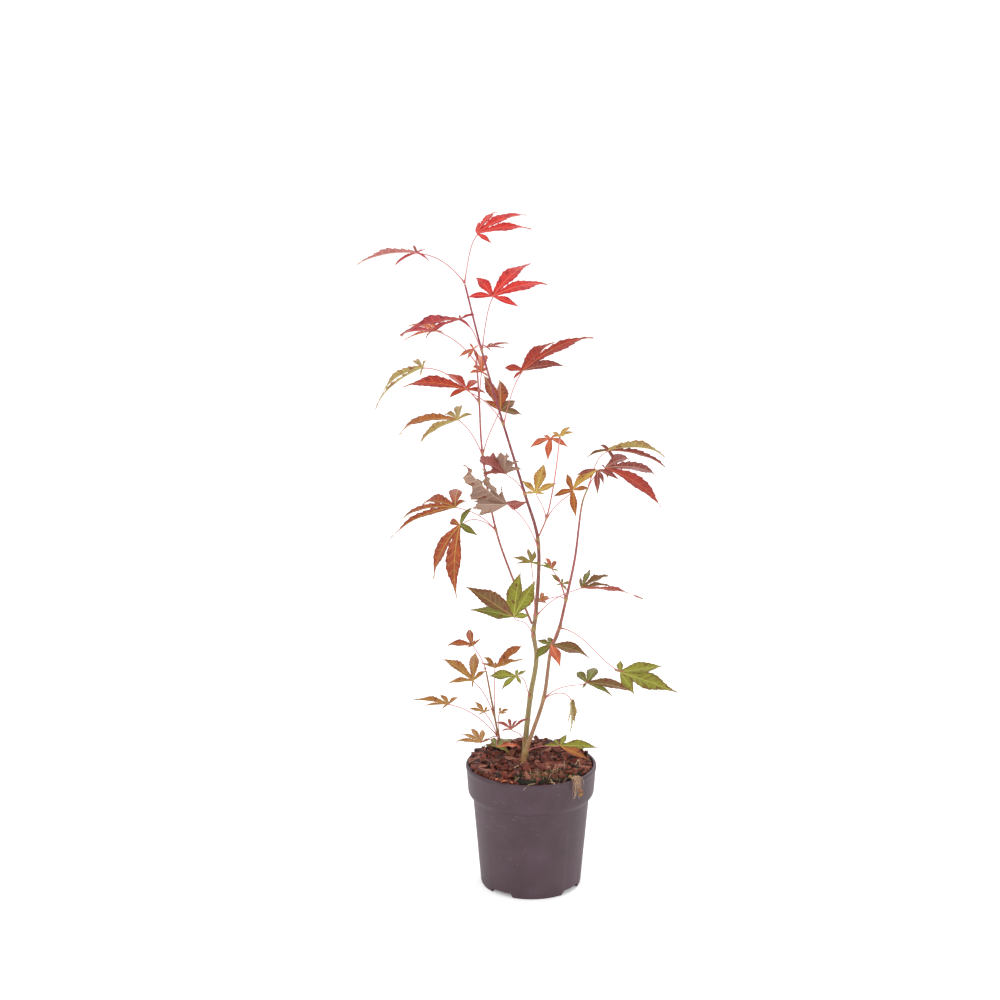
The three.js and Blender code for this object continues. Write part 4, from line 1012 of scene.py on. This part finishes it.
# The pot's outline as radius, height and how much each corner is rounded, from the middle of the
# underside out, up the wall, over the rolled rim and back down inside.
pot_outline = [
    (0, 0, 0), (CHANNEL_FROM, 0, 0.8), (CHANNEL_FROM + 2, CHANNEL_DEPTH, 0.8),
    (CHANNEL_TO - 2, CHANNEL_DEPTH, 0.8), (CHANNEL_TO, 0, 0.8), (49.2, 0, 0.8), (50.1, 1.6, 1.2),
    (57.9, 90.6, 1.2), (58.6, 91.6, 0.8), (61.9, 94.6, 1.8), (62.8, 97.5, 1.6), (64.3, 119.5, 1.5),
    (RIM_RADIUS, 121.5, 0.8), (RIM_RADIUS, 124.6, 1.6), (61.8, 125.2, 1.2), (61.3, 122.5, 1.2),
    (60.8, 97, 2), (56, 89, 2), (47, 6, 1.2), (45, FLOOR, 1), (0, FLOOR, 0),
]

# Scuffs gather about this height, mostly within the first distance from it and hardly past the second.
HANDLED_AT, HANDLED_NEAR, HANDLED_FAR = 88, 12, 30


def rounded(outline, steps=6):
    """An outline with each corner turned into a curve that starts and ends the given distance away."""
    corners = np.array([corner[:2] for corner in outline], float)
    rows = [corners[:1]]
    t = np.linspace(0, 1, steps)[:, None]
    for before, corner, after, (_, _, cut) in zip(corners, corners[1:], corners[2:], outline[1:-1]):
        start, end = corner + unit(before - corner) * cut, corner + unit(after - corner) * cut
        rows.append((1 - t) ** 2 * start + 2 * (1 - t) * t * corner + t ** 2 * end)
    return np.concatenate(rows + [corners[-1:]])


def pot_plastic():
    """Moulded polypropylene: dull dark purple-grey, with faint flow marks, dust and light scuffs.

    Cloudy marks 30 mm wide come from the melt's flow, and the fine grain of 0.5 mm from the mould's
    steel. The scuffs are streaks 0.4 mm wide in patches that gather below the collar, where the pot is
    handled. Specks of dust about 7 mm apart lie on some parts of the wall and are missing on others.
    """
    material, tree = new_material("moulded polypropylene, matt purple-grey")
    place = own_place(tree)
    clouds = noise(tree, place, 30, 4.0)
    colour = ramp(tree, clouds, [(0.3, "#3d2b32"), (0.72, "#4a363f")])
    slanted = add(tree, "ShaderNodeMapping",
                  {0: place, 2: (0.4, 0.3, 0.8), 3: (1 / 9, 1 / 9, 1 / 0.4)}).outputs[0]
    scratches = remap(tree, noise(tree, slanted, 1, 2.0), 0.66, 0.72)
    height = add(tree, "ShaderNodeSeparateXYZ", {0: place}).outputs[2]
    below = calculate(tree, "SUBTRACT", height, HANDLED_AT * MM)
    away = add(tree, "ShaderNodeMath", {0: below}, operation="ABSOLUTE").outputs[0]
    handled = remap(tree, away, HANDLED_NEAR * MM, HANDLED_FAR * MM, 0.1, 0)
    patches = calculate(tree, "ADD", noise(tree, place, 14, 3.0), handled)
    patches = remap(tree, patches, 0.58, 0.68, 0, 0.6)
    scuffs = calculate(tree, "MULTIPLY", scratches, patches)
    specks = remap(tree, cells(tree, place, 7), 0.085, 0.05, 0, 0.5)
    dusty = remap(tree, noise(tree, place, 11, 1.0), 0.5, 0.62)
    dust = calculate(tree, "MULTIPLY", specks, dusty)
    marks = calculate(tree, "MAXIMUM", scuffs, dust)
    return surfaced(material, {
        "Base Color": mixed(tree, marks, colour, linear("#8e8088")),
        "Roughness": remap(tree, clouds, 0, 1, 0.46, 0.6), "IOR": 1.49, "Specular IOR Level": 0.4,
        "Normal": bump(tree, noise(tree, place, 0.5, 2.0), 0.12, 0.0003)})


def make_pot():
    """The outline turned round the axis, with the foot lifted at the notches and the holes cut."""
    outline = rounded(pot_outline)
    angle = np.arange(POT_COLUMNS) * TURN / POT_COLUMNS
    radius = np.broadcast_to(outline[:, 0, None], (len(outline), POT_COLUMNS))
    lifted = np.broadcast_to(outline[:, 1, None], radius.shape).copy()
    outer_skin = np.arange(len(outline))[:, None] < len(outline) // 2
    for i in range(NOTCHES):
        turn = angle - NOTCH_BEARING - i * TURN / NOTCHES
        inside = np.clip(NOTCH_HALF + 0.5 - np.abs(radius * np.sin(turn)), 0, 1) * (np.cos(turn) > 0)
        inside = inside * (radius > CHANNEL_TO - 2.5) * outer_skin
        lifted += (np.maximum(lifted, NOTCH_TOP) - lifted) * inside
    points = polar(radius, angle, lifted).reshape(-1, 3)
    faces = grid_faces(len(outline), POT_COLUMNS, closed=True)
    pot = piece("nursery_pot", (points, faces, np.zeros(len(faces), int)), [pot_plastic()], "pot_plastic",
                ["pot"], smooth_angle=FOLDED_AT)
    cutter = bmesh.new()
    out = (CHANNEL_FROM + CHANNEL_TO) / 2
    for i in range(HOLES):
        bearing = (i + 0.5) * TURN / HOLES
        made = bmesh.ops.create_cone(cutter, cap_ends=True, segments=24, radius1=HOLE_RADIUS * MM,
                                     radius2=HOLE_RADIUS * MM, depth=3 * FLOOR * MM)
        bmesh.ops.translate(cutter, verts=made["verts"],
                            vec=(out * math.cos(bearing) * MM, out * math.sin(bearing) * MM, 4 * MM))
    tool_mesh = bpy.data.meshes.new("hole_cutter")
    cutter.to_mesh(tool_mesh)
    cutter.free()
    tool = link_object("hole_cutter", tool_mesh)
    cut = pot.modifiers.new("drainage holes", "BOOLEAN")
    cut.object = tool
    cut.operation = "DIFFERENCE"
    cut.solver = "EXACT"
    finished = bpy.data.meshes.new_from_object(pot.evaluated_get(bpy.context.evaluated_depsgraph_get()))
    pot.modifiers.clear()
    pot.data = finished
    bpy.data.objects.remove(tool)
    finished.set_sharp_from_angle(angle=math.radians(FOLDED_AT))


# ---------------------------------------------------------------- compost and mulch

MULCH_TOP, MULCH_EDGE, MULCH_RADIUS = 126, 124.5, 60.4
BED_BELOW = 2.6  # how far the crumbs lie below the tops of the chips
BED_BOTTOM = 117.4
BED_ROWS, BED_COLUMNS = 46, 120
BED_WAVES = ((23, 0.8), (11, 0.7), (5.3, 0.5), (3.1, 0.35))  # how long and how high, each four ways

# Lumps that lie elsewhere than on the mound: from how far out, between which bearings, and how high.
# HEAP is the chips piled up at the back, WALL_SIDE those all round against the pot's wall, and SOIL the
# bare patch of soil at the front.
HEAP = {"from": 55, "bearings": (math.radians(20), math.radians(220)), "height": 127.7}
WALL_SIDE = {"from": 57, "bearings": (0, TURN), "height": 124.6}
SOIL = {"from": 36, "bearings": (math.radians(-104), math.radians(-36)), "height": 126.6}


def mound(radius):
    """Height of the mulch's surface at a distance from the axis."""
    return MULCH_TOP - (MULCH_TOP - MULCH_EDGE) * (radius / MULCH_RADIUS) ** 3


def crumbs_with_painted_gap_shade(name, width, depth, top, gap, roughness, ior):
    """Crumbs `width` millimetres wide and `depth` metres deep, lighter on top, with painted shade darkening
    the gaps between them.
    """
    material, tree = new_material(name)
    crumbs = cells(tree, own_place(tree), width)
    # the colour runs from the crumb's own colour at its middle to painted shade in the gaps between crumbs
    return surfaced(material, {
        "Base Color": ramp(tree, crumbs, [(0, top), (1, gap)]), "Roughness": roughness, "IOR": ior,
        "Normal": bump(tree, crumbs, 1.0, depth)})


def make_compost():
    """Moist dark compost: crumbs about 3 mm across, seen through the drainage holes."""
    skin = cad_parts["compost"].data.materials
    skin.clear()
    # the second colour is painted shade in the gaps between the compost's crumbs
    skin.append(crumbs_with_painted_gap_shade("moist peat compost", 3, 0.002, "#4a362c", "#1e1512", 0.95, 1.4))


def tumbled(points, tilt, heading):
    """Bodies turned at random: each tips about X and Y by up to `tilt` and turns about Z."""
    count = len(points)
    spin_x, spin_y = tilt
    for angle, (a, b) in ((spin_x, (1, 2)), (spin_y, (2, 0)), (heading, (0, 1))):
        cosine, sine = np.cos(angle).reshape(count, 1), np.sin(angle).reshape(count, 1)
        first, second = points[..., a].copy(), points[..., b].copy()
        points[..., a] = first * cosine - second * sine
        points[..., b] = first * sine + second * cosine
    return points


def scattered(fate, count, size, reach, lift, tilt, rings=4, sides=7, tints=1, heap=None):
    """Many angular lumps lying on the mound: one mesh, each lump in one tint or the next.

    A lump is a rod of a few rings, flattened to its size, with every point pushed in or out at random.
    It is raised or lowered by up to `lift`, and tipped by about `tilt` radians. It lies within `reach` of
    the axis, and is moved in where it would cross the pot's wall. A `heap` has its lumps between two
    bearings and at a height of its own instead, from its inner distance out to `reach`.
    """
    angle = np.arange(sides) * TURN / sides
    along = np.linspace(-1, 1, rings)
    belly = np.sqrt(np.clip(1 - (np.abs(along) ** 3) * 0.55, 0, 1))
    ring = np.stack(np.broadcast_arrays(along[:, None], belly[:, None] * np.cos(angle),
                                        belly[:, None] * np.sin(angle)), -1)
    body = np.broadcast_to(ring.reshape(-1, 3), (count, rings * sides, 3)).copy()
    body[..., 1:] *= fate.uniform(0.62, 1.15, (count, rings * sides, 1))
    body[..., 0] += fate.uniform(-0.16, 0.16, (count, rings * sides))
    caps = np.stack([body[:, :sides].mean(1), body[:, -sides:].mean(1)], 1)
    body = np.concatenate([np.repeat(caps[:, :1], sides, 1), body, np.repeat(caps[:, 1:], sides, 1)], 1)
    body *= np.array(size) / 2 * fate.uniform(0.55, 1.3, (count, 1, 3))
    body = tumbled(body, fate.normal(0, tilt, (2, count)), fate.uniform(0, TURN, count))
    out, bearing = reach * np.sqrt(fate.uniform(0, 1, count)), fate.uniform(0, TURN, count)
    half = np.abs(body[..., :2]).max(axis=(1, 2))
    if heap:
        out = fate.uniform(heap["from"], reach, count) - half * 0.5
        bearing = fate.uniform(*heap["bearings"], count)
        height = heap["height"] + lift * fate.uniform(-1, 1, count)
    else:
        out = np.minimum(out, MULCH_RADIUS - 0.4 - half * 0.9)
        height = mound(out) + lift * fate.uniform(-1, 1, count)
    points = body + polar(out, bearing, height)[:, None]
    patch = grid_faces(rings + 2, sides, closed=True)
    faces = copied(patch, count, (rings + 2) * sides)
    tint = np.repeat(fate.integers(0, tints, count), len(patch))
    tint = (tint + (fate.uniform(0, 1, len(tint)) < 0.2)) % tints
    return points.reshape(-1, 3), faces, tint


def make_mulch():
    """The mulch: a mound of fine crumbs, flat bark chips over each other, loose crumbs and bare soil."""
    fate = np.random.default_rng(5)
    radius = np.linspace(0, MULCH_RADIUS, BED_ROWS)[:, None]
    lid = polar(radius, np.arange(BED_COLUMNS)[None, :] * TURN / BED_COLUMNS, mound(radius))
    for wavelength, swing in BED_WAVES:
        for heading in fate.uniform(0, TURN, 4):
            shift = fate.uniform(0, TURN)
            run = lid[..., 0] * np.cos(heading) + lid[..., 1] * np.sin(heading)
            lid[..., 2] += 0.5 * swing * np.sin(run * TURN / wavelength + shift)
    lid[..., 2] -= BED_BELOW
    skirt = lid[-1:].copy()
    middle = np.zeros((1, BED_COLUMNS, 3))
    skirt[..., 2] = middle[..., 2] = BED_BOTTOM
    points = np.concatenate([lid, skirt, middle])
    faces = grid_faces(BED_ROWS + 2, BED_COLUMNS, closed=True)
    # the bed is fine bark crumbs, coloured dark as painted shade in the gaps between the chips above it, and
    # darkest as painted shade between its own crumbs
    material = crumbs_with_painted_gap_shade("fine bark crumbs, darkened as painted shade", 2.2, 0.0012, "#40251d", "#120b0a", 0.9, 1.45)
    piece("mulch_bed", (points.reshape(-1, 3), faces, np.zeros(len(faces), int)), [material], "bark_mulch",
          ["bark_mulch"])
    bark = [plain_material(f"pine bark chip {i}", colour, 0.8)
            for i, colour in enumerate(["#6c2e20", "#4a1f16", "#7a3c2a", "#2c1410", "#875240", "#58281c"])]
    chips = joined([
        scattered(fate, count=190, size=(15, 9, 4), reach=57, lift=1.5, tilt=0.4, tints=6),
        scattered(fate, count=190, size=(10.5, 7, 3.8), reach=58, lift=2.2, tilt=0.6, tints=6),
        scattered(fate, count=60, size=(13, 8.5, 2.6), reach=62, lift=0.5, tilt=0.12, tints=6, heap=HEAP),
        scattered(fate, count=230, size=(6, 4.5, 2.4), reach=60.6, lift=1.2, tilt=0.4, tints=6,
                  heap=WALL_SIDE),
    ])
    piece("bark_chips", chips, bark, "bark_mulch", smooth_angle=28)
    soil = scattered(fate, count=1500, size=(3.2, 2.6, 2.2), reach=61, lift=1, tilt=0.8, rings=2, sides=5,
                     tints=2, heap=SOIL)
    piece("soil_crumbs", soil, [plain_material("moist soil", "#1e1712", 0.9),
                                plain_material("moist soil, algae", "#292614", 0.9)], "bark_mulch")
    crumb = scattered(fate, count=700, size=(3.8, 2.8, 2), reach=60, lift=1.4, tilt=0.8, rings=2, sides=5,
                      tints=6)
    piece("bark_crumbs", crumb, bark, "bark_mulch", smooth_angle=28)


# ---------------------------------------------------------------- moss and dry roots


def strands(fate, roots, headings, lengths, girth, wander, sides=5, steps=9, fall=0.0):
    """Thin threads: each starts at its root and wanders on, a smooth random walk that may sink.

    `girth` is the radius at the root in millimetres, `wander` how far the way may turn at each of the
    steps, and `fall` how much it sinks towards its end.
    """
    shapes = []
    for root, heading, length in zip(roots, headings, lengths):
        turn = np.cumsum(fate.normal(0, wander, (steps, 3)), axis=0)
        way = unit(np.asarray(heading, float) + turn)
        way[:, 2] -= fall * np.linspace(0, 1, steps)
        path = np.asarray(root, float) + np.vstack([np.zeros(3), np.cumsum(way * length / steps, axis=0)])
        path, _, _ = smooth_curve(path, per_span=3)
        share = np.linspace(0, 1, len(path))
        shapes.append(tube(path, girth * fate.uniform(0.7, 1.3) * (1 - 0.6 * share), sides))
    return joined(shapes)


SCRAP_ROWS, SCRAP_COLUMNS = 9, 7


def leaf_scrap(place, size, turn, fate):
    """A dry scrap of leaf: a pointed oval sheet, `size` long, that is bowed along and rolled across."""
    along, across = np.linspace(-1, 1, SCRAP_ROWS)[:, None], np.linspace(-1, 1, SCRAP_COLUMNS)[None, :]
    x = along * size / 2 + 0 * across
    y = across * size * 0.28 * np.cos(along * 1.45) ** 0.8
    z = (fate.uniform(0.15, 0.3) * np.abs(y) ** 1.5 / size ** 0.5 - 0.12 * size * along ** 2
         + fate.normal(0, 0.05, x.shape) * size / 3)
    cosine, sine = math.cos(turn), math.sin(turn)
    return (np.stack([x * cosine - y * sine, x * sine + y * cosine, z], -1) + place).reshape(-1, 3)


# How many there are, and the bearing they gather about; the tuft's is where it hangs over the rim.
MOSS_THREADS, MOSS_BEARING = 1500, math.radians(-72)
LOOSE_ROOTS, ROOTS_BEARING = 90, math.radians(-64)
TUFT_STRANDS, TUFT_BEARING = 30, math.radians(-47)
SNAG_FOOT, SNAG_SPAN = (-9, -6, 127.4), (-7, -17, 0.4)  # the dead root by the leader's foot

# The fallen scraps: the look whose colour they have, their place, how long they are and how they lie.
fallen = [
    ("orange", (-27, -56, 127.2), 7, 0.4), ("orange", (-20, -57.5, 126.6), 5, 2.1),
    ("orange", (-34, -51, 127.6), 5.5, 1.2), ("tan", (38, -45, 128), 7, 0.7),
    ("green", (-10, -3, 128.4), 5, 2.6), ("tan", (47.6, -50.5, 112), 9, 1.6),
    ("copper", (46.4, -51.6, 116), 7, 2.5),
]


def dealt(fate, shape, count, tints):
    """A shape of `count` like bodies, with each body dealt out to one of the tints."""
    points, faces, _ = shape
    return points, faces, np.repeat(fate.integers(0, tints, count), len(faces) // count)


def make_moss(fate):
    """A cushion of short upright moss threads at the front right."""
    bearing = fate.normal(MOSS_BEARING, 0.28, MOSS_THREADS)
    out = fate.uniform(38, 59, MOSS_THREADS)
    roots = polar(out, bearing, mound(out) + 0.6)
    headings = fate.normal(0, 0.45, (MOSS_THREADS, 3)) + (0, 0, 1)
    lengths = fate.uniform(1.8, 4.4, MOSS_THREADS)
    moss = strands(fate, roots, headings, lengths, girth=0.38, wander=0.25, sides=4, steps=3)
    greens = [plain_material(f"moss {i}", colour, 0.8)
              for i, colour in enumerate(["#5a5228", "#8c7c4a", "#2c2a16"])]
    piece("moss", dealt(fate, moss, MOSS_THREADS, len(greens)), greens, "foliage")


def make_dry_roots(fate):
    """Dry roots that lie loose among the moss, a tuft of them over the rim, and a dead root."""
    bearing = fate.normal(ROOTS_BEARING, 0.3, LOOSE_ROOTS)
    out = fate.uniform(36, 58, LOOSE_ROOTS)
    roots = polar(out, bearing, mound(out) + 0.6)
    headings = fate.normal(0, 0.8, (LOOSE_ROOTS, 3)) * (1, 1, 0.35) + (0, 0, 0.12)
    lengths = fate.uniform(8, 20, LOOSE_ROOTS)
    loose = strands(fate, roots, headings, lengths, girth=0.34, wander=0.35, fall=0.5)
    tints = [plain_material("dry root", "#cfae8a", 0.75),
             plain_material("dry root, older", "#a8846a", 0.75)]
    piece("dry_roots", dealt(fate, loose, LOOSE_ROOTS, len(tints)), tints, "bark_mulch")

    # each strand of the tuft comes from inside the rim, goes over it and hangs down outside
    shapes = []
    level = np.array([0, 0, 1.0])
    for _ in range(TUFT_STRANDS):
        bearing = TUFT_BEARING + fate.normal(0, 0.035)
        drop = fate.uniform(2, 19)
        outward = np.array([math.cos(bearing), math.sin(bearing), 0])
        aside = np.array([-math.sin(bearing), math.cos(bearing), 0])
        sway = np.cumsum(fate.normal(0, 2.2, 5)) * (0.3, 0.6, 0.7, 0.9, 0.8)
        path = np.array([
            outward * (RIM_RADIUS + fate.uniform(-15, -9)) + level * RIM_TOP,
            outward * (RIM_RADIUS - 4) + level * (RIM_TOP + fate.uniform(1, 3)),
            outward * (RIM_RADIUS + 0.4) + level * (RIM_TOP + fate.uniform(0.8, 2.6)),
            outward * (RIM_RADIUS + fate.uniform(1, 4)) + level * (RIM_TOP - 0.5 - drop * 0.45),
            outward * (RIM_RADIUS + fate.uniform(0.4, 3)) + level * (RIM_TOP - 1 - drop),
        ]) + sway[:, None] * aside
        path, _, _ = smooth_curve(path, per_span=6)
        share = np.linspace(0, 1, len(path))
        shapes.append(tube(path, 0.24 * fate.uniform(0.6, 1.5) * (1 - 0.7 * share), 5))
    piece("dry_tuft", dealt(fate, joined(shapes), TUFT_STRANDS, len(tints)), tints, "bark_mulch")

    t = np.linspace(0, 1, 7)[:, None]
    snag = np.array(SNAG_FOOT) + t * SNAG_SPAN + np.sin(t * 5) * (1.4, 0, 0.5)
    snag, _, _ = smooth_curve(snag, per_span=4)
    piece("dead_root", tube(snag, 1.0 - 0.55 * np.linspace(0, 1, len(snag)), 8),
          [plain_material("dead root, barkless", "#c8a888", 0.7)], "bark_mulch")


def make_scraps(fate):
    """Scraps of fallen leaves, each in a tint of its own."""
    patch = grid_faces(SCRAP_ROWS, SCRAP_COLUMNS)
    spots = np.concatenate([leaf_scrap(place, size, turn, fate) for _, place, size, turn in fallen])
    faces = copied(patch, len(fallen), SCRAP_ROWS * SCRAP_COLUMNS)
    tints = [plain_material(f"fallen leaf, {look}", looks[look][0], 0.7) for look, _, _, _ in fallen]
    piece("leaf_scraps", (spots, faces, np.repeat(np.arange(len(fallen)), len(patch))), tints, "foliage")


def make_litter():
    """What lies among the chips: moss, dry roots, leaf scraps and a few grains of perlite."""
    fate = np.random.default_rng(21)
    make_moss(fate)
    make_dry_roots(fate)
    make_scraps(fate)
    grain = scattered(fate, count=5, size=(2.2, 2, 1.8), reach=44, lift=0.2, tilt=0.8, rings=3, sides=6)
    piece("perlite", grain, [plain_material("expanded perlite", "#e4e0d8", 0.9)], "compost")


# ---------------------------------------------------------------- build

make_camera()
make_floor()
make_lights()
grow_limbs()
make_sprays()
make_stems()
make_buds()
make_pot()
make_compost()
make_mulch()
make_litter()

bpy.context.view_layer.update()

scene_look = bpy.context.scene.view_settings
scene_look.view_transform = "Standard"
